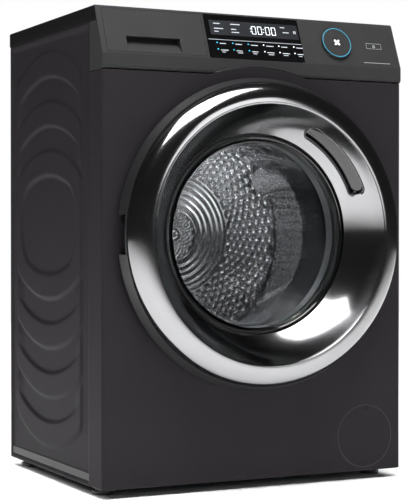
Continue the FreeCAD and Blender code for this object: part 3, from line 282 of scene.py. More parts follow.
def pressed_relief(y, z):
    """How far the pressed pattern stands back from the panel's face, 0 on the raised bands."""
    across = y - PRESSED_CENTRE
    sag = PRESSED_RADIUS - np.sqrt(np.maximum(PRESSED_RADIUS ** 2 - across ** 2, 1.0))
    slope = np.sqrt(1 + (across / np.maximum(PRESSED_RADIUS - sag, 60.0)) ** 2)
    inside_sides = PRESSED_HALF - np.abs(across)

    def rounded_min(a, b, radius=14.0):
        """Distance inside a corner of two edges, with the corner rounded."""
        both = np.sqrt(np.maximum(radius - a, 0) ** 2 + np.maximum(radius - b, 0) ** 2)
        return np.where((a < radius) & (b < radius), radius - both, np.minimum(a, b))

    to_top = (RING_TOP - sag - z) / slope
    to_bottom = (z - RING_BOTTOM - sag) / slope
    ring = smoothstep(0, 5, rounded_min(inside_sides, np.minimum(to_top, to_bottom)))
    inner_top = (RING_TOP - BAND_HEIGHT - sag - z) / slope
    inner_bottom = (z - RING_BOTTOM - BAND_HEIGHT - sag) / slope
    inner_sides = WINDOW_HALF - np.abs(across)
    window = smoothstep(-5, 5, rounded_min(inner_sides, np.minimum(inner_top, inner_bottom), 40))
    height = ring * (1 - window)
    for steps, way in ((1, 1), (2, 1), (1, -1), (2, -1), (3, -1)):
        if way > 0:
            edge = (RING_TOP + steps * BAND_PITCH - sag - z) / slope
        else:
            edge = (z - RING_BOTTOM + steps * BAND_PITCH - sag) / slope
        outer = smoothstep(0, 5, rounded_min(inside_sides, edge))
        inner = smoothstep(-3, 3, edge - BAND_HEIGHT / slope)
        beyond = BAND_PITCH - edge * slope
        lower = smoothstep(0, 26, beyond + 4)
        fade = smoothstep(0, 45, inside_sides)
        height = np.maximum(height, outer * (1 - inner * fade) * lower)
    return (1 - height) * PRESS_DEPTH


def side_panel(name, side, node):
    """A folded sheet with the pressed pattern and the lips folded in at its front and back."""
    y = np.linspace(SIDE_FRONT, BACK, 128)
    z = np.linspace(SIDE_LOW, SIDE_HIGH, 246)
    across, up = np.meshgrid(y, z, indexing="ij")
    margin = np.minimum(np.minimum(across - SIDE_FRONT, BACK - across),
                        np.minimum(up - SIDE_LOW, SIDE_HIGH - up))
    depth = pressed_relief(across, up) * smoothstep(3, 14, margin)
    face_x = side * (HALF_WIDTH - depth)
    skin = np.stack([face_x, across, up], axis=-1)
    lip = skin[-1].copy()
    lip[:, 0] = side * (HALF_WIDTH - REAR_LIP)
    front_lip = skin[0].copy()
    front_lip[:, 0] = side * (HALF_WIDTH - FRONT_LIP)
    grid = np.concatenate([front_lip[None], skin, lip[None]])
    faces = net(grid.shape[0], grid.shape[1])
    if side > 0:
        faces = [face[::-1] for face in faces]
    panel = piece(name, grid.reshape(-1, 3), faces, "cabinet_paint", None, [node], smooth=50)
    give_thickness(panel, "sheet", 1.2, -1)
    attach(panel, "cabinet")


WORKTOP_LOW, WORKTOP_HIGH = 818.0, 845.0
WORKTOP_SETBACK, WORKTOP_OVERHANG = 4, 12
WORKTOP_CORNER, WORKTOP_EDGE = 9, 2.6


def worktop():
    """The laminated top: a slab whose front leans with the fascia and whose edges are softened."""
    lean = math.tan(TILT)
    front_low = FACE + WORKTOP_SETBACK + (WORKTOP_LOW - BEND) * lean
    front_high = FACE + WORKTOP_SETBACK + (WORKTOP_HIGH - BEND) * lean
    rear = BACK + WORKTOP_OVERHANG
    section = [(front_low, WORKTOP_LOW), (rear, WORKTOP_LOW), (rear, WORKTOP_HIGH),
               (front_high, WORKTOP_HIGH)]
    builder = bmesh.new()
    left = [builder.verts.new((-HALF_WIDTH, y, z)) for y, z in section]
    right = [builder.verts.new((HALF_WIDTH, y, z)) for y, z in section]
    builder.faces.new(left)
    builder.faces.new(right[::-1])
    for i in range(4):
        j = (i + 1) % 4
        builder.faces.new((left[j], left[i], right[i], right[j]))
    corners = [e for e in builder.edges if all(v.co.y == rear for v in e.verts)
               and abs(e.verts[0].co.x - e.verts[1].co.x) < 1]
    bmesh.ops.bevel(builder, geom=corners, offset=WORKTOP_CORNER, segments=6, profile=0.5, affect="EDGES")
    rims = [e for e in builder.edges if len(e.link_faces) == 2 and e.calc_face_angle(0) > math.radians(50)]
    bmesh.ops.bevel(builder, geom=rims, offset=WORKTOP_EDGE, segments=4, profile=0.5, affect="EDGES")
    bmesh.ops.recalc_face_normals(builder, faces=builder.faces)
    builder.verts.index_update()
    points = [tuple(v.co) for v in builder.verts]
    faces = [tuple(v.index for v in face.verts) for face in builder.faces]
    builder.free()
    return piece("worktop_slab", points, faces, "worktop_laminate", "cabinet", ["worktop"])


side_panel("side_left", -1, "left_side_panel")
side_panel("side_right", 1, "right_side_panel")
worktop()


# ---------------------------------------------------------------- door

RIDGE, RIM = 231.0, 268.5
RIM_OUT, CREST_OUT = 30.3, 62.0
CREST_ROUND, CREST_WALL = 3.6, 2.5


def chrome_ring():
    """A broad bright crest that rolls over into the funnel."""
    reach, rise = RIM - RIDGE, CREST_OUT - RIM_OUT
    outside = arc((RIDGE, RIM_OUT), (reach, rise), 0, 90, 26)
    roll = arc((RIDGE, CREST_OUT - CREST_ROUND), (CREST_ROUND, CREST_ROUND), 100, 190, 7)
    inside = arc((RIDGE, RIM_OUT), (reach - CREST_WALL, rise - CREST_WALL), 90, 0, 18)
    outline = in_front(outside + roll + [(RIDGE - 1.4, CREST_OUT - 5.0)] + inside)
    return turned("door_crest", outline, "chrome", "door", ["door_chrome_ring"], segments=320)


FUNNEL_LOW, FUNNEL_HIGH = (178.5, -4.0), (228.0, 58.6)
FUNNEL_RUN = FUNNEL_HIGH[0] - FUNNEL_LOW[0]
FUNNEL_RISE = FUNNEL_HIGH[1] - FUNNEL_LOW[1]
FUNNEL_LENGTH = math.hypot(FUNNEL_RUN, FUNNEL_RISE)
DISH_DEPTH = 3.4

POCKET_FROM, POCKET_TO = 21.0, 65.0
POCKET_RADIUS, POCKET_SHARE = 205.0, 0.47
POCKET_MIDDLE = math.radians((POCKET_FROM + POCKET_TO) / 2)
POCKET_HALF_LONG = math.radians((POCKET_TO - POCKET_FROM) / 2) * POCKET_RADIUS
POCKET_HALF_WIDE, POCKET_CORNER, POCKET_DEPTH = 15.5, 11.0, 13.0
POCKET_BEAD, POCKET_BEAD_SUNK = 0.55, 0.2


def on_funnel(turn, share, push):
    """A point a share of the way out along the funnel, pushed away from the straight line."""
    radius = FUNNEL_LOW[0] + FUNNEL_RUN * share + FUNNEL_RISE / FUNNEL_LENGTH * push
    forward = FUNNEL_LOW[1] + FUNNEL_RISE * share - FUNNEL_RUN / FUNNEL_LENGTH * push
    return radius * np.cos(turn), FACE - forward, AXIS + radius * np.sin(turn)


def funnel():
    """The dished bright funnel and its long scooped hand pocket, whose deep faces are piano black as painted
    shade.
    """
    turns, steps = 520, 54
    turn = full_turn(turns)[:, None]
    share = np.linspace(0, 1, steps)[None, :]
    around = (np.abs((turn - POCKET_MIDDLE + math.pi) % (2 * math.pi) - math.pi)) * POCKET_RADIUS
    beside = np.abs(share - POCKET_SHARE) * FUNNEL_LENGTH
    over_long = np.maximum(around - (POCKET_HALF_LONG - POCKET_CORNER), 0)
    over_wide = np.maximum(beside - (POCKET_HALF_WIDE - POCKET_CORNER), 0)
    edge = np.sqrt(over_long ** 2 + over_wide ** 2) - POCKET_CORNER
    depth = POCKET_DEPTH * smoothstep(1.2, -4.5, edge)
    points = np.stack(on_funnel(turn, share, DISH_DEPTH * np.sin(math.pi * share) + depth), axis=-1)
    sunk = depth.ravel()
    flat_points = points.reshape(-1, 3)
    inside, outside = [], []
    # Faces sunk deeper than 0.8 mm take piano black as painted shade in the pocket; the rest stay chrome.
    for face in net(turns, steps, wrap_rows=True):
        (inside if min(sunk[i] for i in face) > 0.8 else outside).append(face)
    for name, chosen, paint in (("door_dish", outside, "chrome"), ("pocket_painted_shade", inside, "gloss_black")):
        used = sorted({i for face in chosen for i in face})
        place = {old: new for new, old in enumerate(used)}
        item = piece(name, flat_points[used], [tuple(place[i] for i in face) for face in chosen], paint, None,
                     ["door_funnel"], smooth=60)
        give_thickness(item, "wall", 1.6, -1)
        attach(item, "door")


def pocket_bead():
    """A thin bright bead along the hand pocket's edge."""
    path = []
    for side_u, side_v, first in ((1, 1, 0), (-1, 1, 90), (-1, -1, 180), (1, -1, 270)):
        for angle in np.radians(np.linspace(first, first + 90, 8)):
            path.append((side_u * (POCKET_HALF_LONG - POCKET_CORNER) + POCKET_CORNER * math.cos(angle),
                         side_v * (POCKET_HALF_WIDE - POCKET_CORNER) + POCKET_CORNER * math.sin(angle)))
    centres = []
    for (u0, v0), (u1, v1) in zip(path, path[1:] + path[:1]):
        count = max(1, int(math.hypot(u1 - u0, v1 - v0) / 6))
        for k in range(count):
            u, v = u0 + (u1 - u0) * k / count, v0 + (v1 - v0) * k / count
            share = POCKET_SHARE + v / FUNNEL_LENGTH
            push = DISH_DEPTH * math.sin(math.pi * share) - POCKET_BEAD_SUNK
            centres.append(on_funnel(POCKET_MIDDLE + u / POCKET_RADIUS, share, push))
    return bead("pocket_bead", centres, POCKET_BEAD, "chrome", "door")


def bead(name, centres, radius, paint, body, sides=8):
    """A thin closed tube along a loop of points."""
    centres = np.asarray(centres, float)
    ahead = np.roll(centres, -1, axis=0) - np.roll(centres, 1, axis=0)
    ahead /= np.linalg.norm(ahead, axis=1)[:, None]
    across = np.cross(ahead, (0.0, 1.0, 0.0))
    across /= np.linalg.norm(across, axis=1)[:, None]
    upward = np.cross(ahead, across)
    turn = full_turn(sides)
    points = (centres[:, None] + radius * (across[:, None] * np.cos(turn)[None, :, None]
                                           + upward[:, None] * np.sin(turn)[None, :, None]))
    faces = [face[::-1] for face in net(len(centres), sides, True, True)]
    return piece(name, points.reshape(-1, 3), faces, paint, body, smooth=80)


def bowl():
    """The pressed glass bowl, smooth inside and out, with a flat flange."""
    outside = curve_through([(170.2, -9), (167.5, -20), (160, -50), (146, -78), (120, -97), (80, -106),
                             (0.4, -109)])
    inside = curve_through([(0.4, -105), (79, -102), (117.5, -93.3), (142.5, -75.5), (156, -49),
                            (163.5, -19.5), (166, -5.5)])
    outline = [(185.5, -4.5), (185.5, -8.5)] + outside + inside + [(167.4, -4.5)]
    return turned("door_bowl", in_front(outline), "bowl_glass", "door", ["door_glass"], segments=200,
                  smooth=50)


def window_rim():
    """The thin black step around the window."""
    outline = [(170.5, -4.3), (174.3, -4.3), (174.3, -2.4), (173.6, -1.4), (172.2, -1.4), (171.0, -2.4)]
    return turned("window_rim", in_front(outline), "gloss_black", "door", segments=240, smooth=35)


def gasket():
    """The bellows that seals the tub's mouth to the front panel."""
    outer = curve_through([(204.4, -1.5), (204.4, -14.5), (199.6, -18.6), (199.2, -33.4), (190, -35.8),
                           (181, -36.8), (178.6, -40), (178.3, -48)], 5)
    inner = curve_through([(175.3, -48), (175.5, -39), (172.5, -33.6), (181, -31.2), (194, -30.2),
                           (195.6, -25), (190, -21.6), (176, -20.6), (169.8, -19.8), (169.6, -17.4),
                           (173, -16.2), (188, -15.6), (199.6, -13.2), (201.4, -9), (201.4, -1.5)], 5)
    item = turned("door_bellows", in_front(outer + inner), "gasket_rubber", None, ["door_gasket"],
                  segments=200, smooth=60)
    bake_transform(item)


chrome_ring()
funnel()
pocket_bead()
bowl()
window_rim()
gasket()


# ---------------------------------------------------------------- drum

DRUM_RADIUS, DRUM_FRONT, DRUM_REAR = 237.4, -148.0, 160.6
CELLS_ROUND, CELLS_LONG = 92, 17
BOSS_RADIUS, STEPS_RADIUS = 52.0, 124.0
CAP_RADIUS, CAP_HEIGHT = 14.0, 9.0


def pillow_cells(columns, rows, low, high, place, margin=6.0):
    """A band of staggered pillows, each pierced by a drain hole. place(turn, along, height) gives a point."""
    pitch = (high - low - 2 * margin) / (rows + 0.5)
    outline = [(-.5, -.5), (0, -.5), (.5, -.5), (.5, 0), (.5, .5), (0, .5), (-.5, .5), (-.5, 0)]
    diagonal = [math.atan2(v, u) for u, v in outline]
    rings = [(None, 0.0), (0.43, 0.3), (0.36, 2.6), (0.2, 3.0), (0.13, 2.0)]
    points, faces, index = [], [], {}

    def vertex(column, along, height):
        key = (round(column % columns * 100), round(along * 100), round(height * 100))
        if key not in index:
            index[key] = len(points)
            points.append(place(2 * math.pi * column / columns, along, height))
        return index[key]

    for column in range(columns):
        shift = 0.5 if column % 2 else 0.0
        for row in range(rows):
            centre = low + margin + (row + 0.5 + shift) * pitch
            loops = []
            for size, height in rings:
                loop = []
                for (u, v), angle in zip(outline, diagonal):
                    if size is not None:
                        u, v = size * math.cos(angle), size * math.sin(angle)
                    loop.append(vertex(column + 0.5 + u, centre + v * pitch, height))
                loops.append(loop)
            for outer, inner in zip(loops, loops[1:]):
                for k in range(8):
                    m = (k + 1) % 8
                    faces.append((outer[k], outer[m], inner[m], inner[k]))
        first = low + margin
        last = first + (rows + 0.5) * pitch
        half = 0.5 * pitch
        spans = ((low, first), (first, first + half)) if shift else ((low, first),)
        spans += ((last, high),) if shift else ((last - half, last), (last, high))
        for near, far in spans:
            a, b = vertex(column, near, 0), vertex(column + 0.5, near, 0)
            c, d = vertex(column + 1, near, 0), vertex(column + 1, far, 0)
            e, f = vertex(column + 0.5, far, 0), vertex(column, far, 0)
            faces.append((a, b, e, f))
            faces.append((b, c, d, e))
    return points, faces


def on_wall(turn, along, height):
    radius = DRUM_RADIUS - height
    return radius * math.cos(turn), along, AXIS + radius * math.sin(turn)


def on_back(turn, radius, height):
    return radius * math.cos(turn), DRUM_REAR - height, AXIS + radius * math.sin(turn)


def back_rings(outline, segments):
    """A sheet over the drum's rear disc, one ring of points for each (radius, height)."""
    points = [on_back(turn, radius, height) for radius, height in outline for turn in full_turn(segments)]
    return points, net(len(outline), segments, wrap_columns=True)


def drum_back():
    """The rear disc's concentric pressed beads, from its pillows in to its boss."""
    outline = [(STEPS_RADIUS, 0.0)]
    for radius, height in ((117, 3.4), (106, 3.0), (93, 4.6), (80, 4.0), (68, 5.6)):
        outline += [(radius + 3.2, height - 1.6), (radius + 1.2, height), (radius - 1.2, height),
                    (radius - 3.2, height - 1.6), (radius - 4.0, height - 1.8)]
    outline += [(BOSS_RADIUS + 4, 4.2), (BOSS_RADIUS + 1, 8.0), (BOSS_RADIUS - 2, CAP_HEIGHT)]
    return back_rings(outline, 200)


def on_boss(turn, radius, height):
    return on_back(turn, radius, CAP_HEIGHT + height / 2)


def pressed_sheet(name, points, faces, offset):
    """A sheet-metal piece of the drum, given its thickness."""
    item = piece(name, points, faces, "stainless", None, ["drum_shell"], smooth=70)
    give_thickness(item, "sheet", 0.9, offset)
    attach(item, "drum")


def drum():
    """The pierced wall, and the rear disc in four rings from its rim to its cap."""
    pressed_sheet("drum_wall", *pillow_cells(CELLS_ROUND, CELLS_LONG, DRUM_FRONT, DRUM_REAR, on_wall), 1)
    pressed_sheet("drum_back_pillows", *pillow_cells(72, 7, STEPS_RADIUS, DRUM_RADIUS, on_back, 2.0), 0)
    pressed_sheet("drum_back_steps", *drum_back(), 0)
    pressed_sheet("drum_boss", *pillow_cells(36, 3, CAP_RADIUS, BOSS_RADIUS - 2, on_boss, 1.0), 0)
    cap = [(CAP_RADIUS, CAP_HEIGHT), (13.0, 10.5), (9.0, 12.0), (0.3, 12.5)]
    pressed_sheet("drum_cap", *back_rings(cap, 48), 0)


def painted_shade_collar():
    """A gloss-black sleeve from the gasket's lip into the drum: painted shade, a dark sheet that darkens the
    window's right side.
    """
    outline = curve_through([(176.6, -59.2), (176.2, -66), (174.4, -100), (171.6, -134), (170.2, -136.4)], 5)
    outline += curve_through([(168.6, -136.0), (169.4, -133), (172.2, -99), (173.9, -66), (174.6, -59.2)], 5)
    return turned("painted_shade_collar", in_front(outline), "gloss_black", "drum", segments=160, smooth=60)


LIFTER_BASE, LIFTER_HEIGHT, LIFTER_FRONT, LIFTER_REAR = 30.0, 43.0, -130.0, 150.0
LIFTER_ROOT, LIFTER_FOOT = 233.5, 234.0
LIFTER_TAPER, LIFTER_RELIEFS_FROM_END = 42, 62


def lifters():
    """Three rounded lifters, each with a row of oval reliefs down both sides."""
    long_steps, round_steps = 90, 44
    for number, angle in enumerate((30, 150, 270)):
        along = np.linspace(LIFTER_FRONT, LIFTER_REAR, long_steps)[:, None]
        span = np.linspace(-1, 1, round_steps)[None, :]
        ends = np.minimum(along - LIFTER_FRONT, LIFTER_REAR - along)
        taper = np.sqrt(np.clip(1 - (1 - np.clip(ends / LIFTER_TAPER, 0, 1)) ** 2, 0, 1))
        profile = (1 - np.abs(span) ** 2.6) ** 0.85
        tall = LIFTER_HEIGHT * profile * (0.04 + 0.96 * taper)
        across = LIFTER_BASE * span * (0.72 + 0.28 * taper)
        relief = 0
        for middle in np.linspace(LIFTER_FRONT + LIFTER_RELIEFS_FROM_END,
                                  LIFTER_REAR - LIFTER_RELIEFS_FROM_END, 4):
            oval = ((along - middle) / 24) ** 2 + ((np.abs(span) - 0.62) / 0.2) ** 2
            relief = relief + 2.6 * smoothstep(1.15, 0.7, oval)
        crown = 1.4 * smoothstep(0.16, 0.05, np.abs(span)) * taper
        radius = LIFTER_ROOT - np.maximum(tall - relief * profile + crown, 0)
        turn = math.radians(angle)
        x = radius * math.cos(turn) - across * math.sin(turn)
        z = AXIS + radius * math.sin(turn) + across * math.cos(turn)
        top = np.stack([x, along + 0 * x, z], axis=-1)
        foot_x = LIFTER_FOOT * math.cos(turn) - across * math.sin(turn)
        foot_z = AXIS + LIFTER_FOOT * math.sin(turn) + across * math.cos(turn)
        foot = np.stack([foot_x + 0 * x, along + 0 * x, foot_z + 0 * x], axis=-1)
        points = np.concatenate([top.reshape(-1, 3), foot.reshape(-1, 3)])
        cover = net(long_steps, round_steps)
        count = long_steps * round_steps
        border = list(range(round_steps))
        border += [i * round_steps + round_steps - 1 for i in range(1, long_steps)]
        border += [count - 1 - j for j in range(1, round_steps)]
        border += [i * round_steps for i in range(long_steps - 2, 0, -1)]
        faces = cover + [tuple(i + count for i in face[::-1]) for face in cover]
        for a, b in zip(border, border[1:] + border[:1]):
            faces.append((b, a, a + count, b + count))
        item = piece(f"lifter_{number + 1}", points, faces, "stainless", None, smooth=50)
        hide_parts("drum_lifters")
        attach(item, "drum")


drum()
painted_shade_collar()
lifters()


# ---------------------------------------------------------------- controls

def face_plates(name, plates, paint, body="cabinet", lift=0.0, height=0.25):
    """Thin marks on the tilted face; each plate is a list of (x, up) corners."""
    points, faces = [], []
    for corners in plates:
        first, count = len(points), len(corners)
        points += [on_face(x, up, lift) for x, up in corners]
        points += [on_face(x, up, lift + height) for x, up in corners]
        faces.append(tuple(range(first + count, first + 2 * count)))
        faces.append(tuple(range(first + count - 1, first - 1, -1)))
        for k in range(count):
            m = (k + 1) % count
            faces.append((first + k, first + m, first + count + m, first + count + k))
    return piece(name, points, faces, paint, body)


def bar(x0, x1, low, high):
    """The four corners of an upright bar or a flat line."""
    return [(x0, low), (x1, low), (x1, high), (x0, high)]


def disc(x, up, radius, sides):
    """The corners of a round dot."""
    return [(x + radius * math.cos(a), up + radius * math.sin(a)) for a in full_turn(sides)]


DISPLAY_FACE, TINT_HEIGHT = 0.4, 0.08
COLONS = (21.4, -4.6)


def zero(left, low, width, tall, thick=0.9, gap=0.5):
    """The six lit bars of a seven-segment 0."""
    middle, top, right = low + tall / 2, low + tall, left + width
    across, lower, upper = (left + gap, right - gap), (low + gap, middle - gap), (middle + gap, top - gap)
    return [bar(*across, top - thick, top), bar(right - thick, right, *upper),
            bar(right - thick, right, *lower), bar(*across, low, low + thick),
            bar(left, left + thick, *lower), bar(left, left + thick, *upper)]


def display():
    """The lit display: digits, status marks, two rows of lamps with short label bars, a divider."""
    face_plates("display_lcd", [bar(-86, 92, 47, 76)], LCD_TINT, lift=DISPLAY_FACE, height=TINT_HEIGHT)
    lit = []
    for left in (-2.5, 9.5, 25.5, 37.5):
        lit += zero(left, 52.5, 8.5, 16)
    for x in COLONS:
        lit += [disc(x, up, 0.8, 12) for up in (57.5, 63.5)]
    face_plates("display_digits", lit, LAMP_WHITE, lift=DISPLAY_FACE + TINT_HEIGHT)
    dim = [bar(-93, 95, 37.1, 37.7)]
    for x, up, wide in ((-78, 69, 13), (-44, 69, 19), (-78, 59, 18), (-44, 59, 10), (57, 69, 9), (61, 59, 12),
                        (-78, 53, 8), (-44, 53, 15)):
        dim.append(bar(x, x + wide, up, up + 1.5))
    dim += [bar(83 + 3 * k, 84.6 + 3 * k, 58.5, 64) for k in range(2)]
    face_plates("display_labels", dim, LAMP_DIM, lift=DISPLAY_FACE + TINT_HEIGHT)
    teal, white, bars = [], [], []
    for row, up in enumerate((31.5, 18.5)):
        for column in range(6):
            x = -77 + 31.0 * column
            group = teal if column < 3 else white
            group.append(disc(x, up, 1.25, 16))
            bars.append(bar(x + 5, x + 17 + (column * 5 + row * 3) % 4, up - 2.2, up - 0.9))
            if row:
                bars.append(bar(x + 7, x + 14 + (column * 3) % 5, up - 6.0, up - 4.9))
    face_plates("display_lamps_teal", teal, LAMP_TEAL, lift=DISPLAY_FACE)
    face_plates("display_lamps_white", white, LAMP_WHITE, lift=DISPLAY_FACE)
    face_plates("display_names", bars, LAMP_DIM, lift=DISPLAY_FACE)


def face_ring(name, x, up, outer, inner, low, high, paint, body, segments=120):
    """A flat ring on the tilted face, its edges rounded."""
    outline = [(inner, low), (outer, low), (outer, high - 0.15), (outer - 0.15, high), (inner + 0.15, high),
               (inner, high - 0.15)]
    points = [on_face(x + radius * math.cos(turn), up + radius * math.sin(turn), lift)
              for turn in full_turn(segments) for radius, lift in outline]
    faces = [face[::-1] for face in net(segments, len(outline), True, True)]
    return piece(name, points, faces, paint, body, smooth=60)


DIAL_X, DIAL_UP = 168.5, 43.7
PETAL_REACH, PETAL_HALF_LONG, PETAL_HALF_WIDE = 4.1, 3.0, 1.9
START_FACE = 5.66


def dial():
    """The dial's teal halo and the four petals on the start button."""
    face_ring("dial_halo", DIAL_X, DIAL_UP, 29.6, 27.9, 5.35, 5.75, TEAL_RING, "selector_dial")
    petals = []
    for k in range(4):
        turn = math.radians(45 + 90 * k)
        centre_x, centre_up = DIAL_X + PETAL_REACH * math.cos(turn), DIAL_UP + PETAL_REACH * math.sin(turn)
        outline = []
        for a in full_turn(20):
            along, across = PETAL_HALF_LONG * math.cos(a), PETAL_HALF_WIDE * math.sin(a)
            outline.append((centre_x + along * math.cos(turn) - across * math.sin(turn),
                            centre_up + along * math.sin(turn) + across * math.cos(turn)))
        petals.append(outline)
    face_plates("start_petals", petals, LAMP_WHITE, "start_button", lift=START_FACE, height=0.2)


POWER_X, POWER_UP = 250.4, 42.6
POWER_FACE, MARK_HEIGHT, OUTLINE_WIDTH = 0.4, 0.12, 0.5


def power():
    """The power key's thin outline and its icon, and the short bar under the key."""
    left, right, low, high = 234.2, 266.6, 37.6, 48.8
    lines = [bar(left, right, low, low + OUTLINE_WIDTH), bar(left, right, high - OUTLINE_WIDTH, high),
             bar(left, left + OUTLINE_WIDTH, low, high), bar(right - OUTLINE_WIDTH, right, low, high)]
    face_plates("power_outline", lines, PALE_MARK, "power_button", lift=POWER_FACE, height=MARK_HEIGHT)
    icon = []
    angles = np.radians(np.linspace(130, 410, 23))
    for a, b in zip(angles, angles[1:]):
        corners = ((2.1, a), (2.7, a), (2.7, b), (2.1, b))
        icon.append([(POWER_X + r * math.cos(t), POWER_UP + r * math.sin(t)) for r, t in corners])
    icon.append(bar(POWER_X - 0.3, POWER_X + 0.3, POWER_UP + 0.2, POWER_UP + 3.4))
    face_plates("power_icon", icon, LAMP_DIM, "power_button", lift=POWER_FACE, height=MARK_HEIGHT)
    face_plates("fascia_mark", [bar(222, 279, 8.0, 8.9)], PALE_MARK, lift=0.02, height=0.1)


display()
dial()
power()


# ---------------------------------------------------------------- hatch, feet and back

def polygon_rod(name, x, y, low, high, radius, sides, paint, body, chamfer=0.8):
    """An upright prism with chamfered ends, such as a lock nut."""
    rings = [(radius - chamfer, low), (radius, low + chamfer), (radius, high - chamfer),
             (radius - chamfer, high)]
    points = [(x + r * math.cos(a), y + r * math.sin(a), z) for r, z in rings
              for a in full_turn(sides)]
    faces = net(len(rings), sides, wrap_columns=True)
    faces += [tuple(range(sides))[::-1], tuple(range(len(points) - sides, len(points)))]
    return piece(name, points, faces, paint, body, smooth=20)


HATCH_X, HATCH_HEIGHT = 222.0, 80.0
FOOT_X, FRONT_FOOT_Y, REAR_FOOT_Y = 273, FACE + 66, BACK - 40
NUT_LOW, NUT_HIGH, NUT_RADIUS = 10.6, 15.1, 9.5


def hatch_seam():
    """The dark shut line round the filter hatch."""
    outline = [(56.5, 0.04), (57.7, 0.04), (57.7, 0.14), (56.5, 0.14)]
    turned("hatch_seam", in_front(outline), "black_plastic", "cabinet", x=HATCH_X, z=HATCH_HEIGHT,
           segments=120, smooth=30)


def lock_nuts():
    """The hexagonal nut that locks each foot."""
    for end, y in (("front", FRONT_FOOT_Y), ("rear", REAR_FOOT_Y)):
        for side, x in (("left", -FOOT_X), ("right", FOOT_X)):
            polygon_rod(f"lock_nut_{end}_{side}", x, y, NUT_LOW, NUT_HIGH, NUT_RADIUS, 6, "bright_steel",
                        f"foot_{end}_{side}")


def transit_plugs():
    """Round caps in the four transit bolt holes."""
    for number, (x, z) in enumerate(((-205, 290), (205, 290), (-205, 610), (205, 610))):
        outline = [(0.3, BACK - 1.4), (0.3, BACK + 3.6), (9, BACK + 3.4), (14, BACK + 1.6),
                   (15.5, BACK - 0.2), (15.5, BACK - 1.4)]
        turned(f"transit_plug_{number + 1}", outline[::-1], "black_plastic", "cabinet", x=x, z=z, segments=48)


RIB_ROUND, RIB_ROUNDING, RIB_HEIGHT = 12, 4.5, 3.0
RIB_X, RIB_HALF_LONG, RIB_FOOT = 140, 105, 1.35


def rear_ribs():
    """Long pressed ribs that stiffen the rear panel."""
    turns, steps = 48, 7
    places = [(x, z) for z in (110, 165, 690, 735) for x in (-RIB_X, RIB_X)]
    for number, (x, z) in enumerate(places):
        points = []
        for k in range(steps):
            climb = math.pi / 2 * k / (steps - 1)
            radius = RIB_ROUND - RIB_ROUNDING * (1 - math.cos(climb))
            y = BACK - RIB_FOOT + RIB_HEIGHT * math.sin(climb)
            for a in full_turn(turns):
                shift = (RIB_HALF_LONG - RIB_ROUND) * (1 if math.cos(a) > 0 else -1)
                points.append((x + shift + radius * math.cos(a), y, z + radius * math.sin(a)))
        faces = [face[::-1] for face in net(steps, turns, wrap_columns=True)]
        faces += [tuple(range(len(points) - turns, len(points)))[::-1], tuple(range(turns))]
        piece(f"rear_rib_{number + 1}", points, faces, "galvanised", "cabinet", smooth=60)


hatch_seam()
lock_nuts()
transit_plugs()
rear_ribs()


# ---------------------------------------------------------------- studio

ROOM_LIGHT = 0.03
STUDIO_LIGHTS = {       # place, target, size, power
    "overhead_softbox": ((-0.35, -0.85, 2.3), (-0.2, -0.6, 0.3), (1.7, 1.3), 75),
    "front_softbox": ((1.6, -4.2, 1.6), (0.0, -0.2, 0.5), (1.4, 1.4), 20),
    "floor_light": ((0.0, 2.9, 3.6), (0.0, 2.9, 0.0), (12.0, 7.0), 700),
    "drum_lamp": ((0.05, -0.10, 0.62), (0.12, 0.14, 0.40), (0.06, 0.012), 3.4),
    "drum_low_lamp": ((0.02, -0.11, 0.29), (0.16, 0.12, 0.5), (0.06, 0.012), 1.2),
}


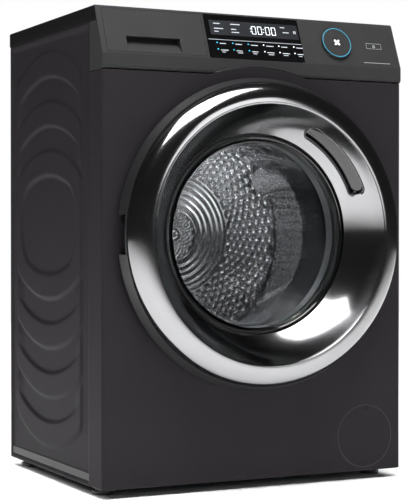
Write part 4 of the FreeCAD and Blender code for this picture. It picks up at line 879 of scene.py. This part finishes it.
def studio():
    """A pale floor, white behind it for the camera and a dim room for everything else."""
    floor = bpy.data.meshes.new("floor")
    reach, rear = 7.0, 5.0
    floor.from_pydata([(-reach, -reach, 0), (reach, -reach, 0), (reach, rear, 0), (-reach, rear, 0)], [],
                      [(0, 1, 2, 3)])
    ground = bpy.data.objects.new("studio_floor", floor)
    bpy.context.scene.collection.objects.link(ground)
    floor.materials.append(surface("pale_floor", (0.86, 0.86, 0.86), 0.6, scale=3, spread=0.01, relief=0.0))
    ground_only = bpy.data.collections.new("floor_only")
    ground_only.objects.link(ground)

    world = bpy.data.worlds.new("studio_air")
    world.use_nodes = True
    nodes, links = world.node_tree.nodes, world.node_tree.links
    room = nodes["Background"]
    room.inputs["Color"].default_value = (1.0, 1.0, 1.0, 1.0)
    room.inputs["Strength"].default_value = ROOM_LIGHT
    backdrop = nodes.new("ShaderNodeBackground")
    backdrop.inputs["Color"].default_value = (1.0, 1.0, 1.0, 1.0)
    seen = nodes.new("ShaderNodeLightPath")
    mix = nodes.new("ShaderNodeMixShader")
    links.new(seen.outputs["Is Camera Ray"], mix.inputs["Fac"])
    links.new(room.outputs["Background"], mix.inputs[1])
    links.new(backdrop.outputs["Background"], mix.inputs[2])
    links.new(mix.outputs["Shader"], nodes["World Output"].inputs["Surface"])
    bpy.context.scene.world = world
    bpy.context.scene.view_settings.view_transform = "Standard"
    return ground_only


def softbox(name, place, target, size, power):
    """A rectangular lamp, in metres and watts, turned to its target."""
    light = bpy.data.lights.new(name, "AREA")
    light.shape = "RECTANGLE"
    light.size, light.size_y = size
    light.energy = power
    lamp = bpy.data.objects.new(name, light)
    lamp.location = place
    aim = Vector(target) - Vector(place)
    lamp.rotation_euler = aim.to_track_quat("-Z", "Y").to_euler()
    bpy.context.scene.collection.objects.link(lamp)
    return lamp


def camera():
    """The photograph's viewpoint: a long lens, low down and to the left of the machine's front."""
    turn, drop = math.radians(26.22), math.radians(0.57)
    distance = 2.68823
    target = Vector((-0.10918, FACE * MM, 0.42408))
    away = Vector((-math.sin(turn) * math.cos(drop), -math.cos(turn) * math.cos(drop), math.sin(drop)))
    lens = bpy.data.cameras.new("view")
    lens.lens = 110.8
    lens.sensor_width = 36.0
    lens.clip_start = 0.05
    eye = bpy.data.objects.new("view", lens)
    eye.location = target + away * distance
    eye.rotation_euler = (math.radians(90) - drop, 0.0, -turn)
    bpy.context.scene.collection.objects.link(eye)
    bpy.context.scene.camera = eye


floor_only = studio()
camera()
lamps = {name: softbox(name, *row) for name, row in STUDIO_LIGHTS.items()}
lamps["floor_light"].light_linking.receiver_collection = floor_only
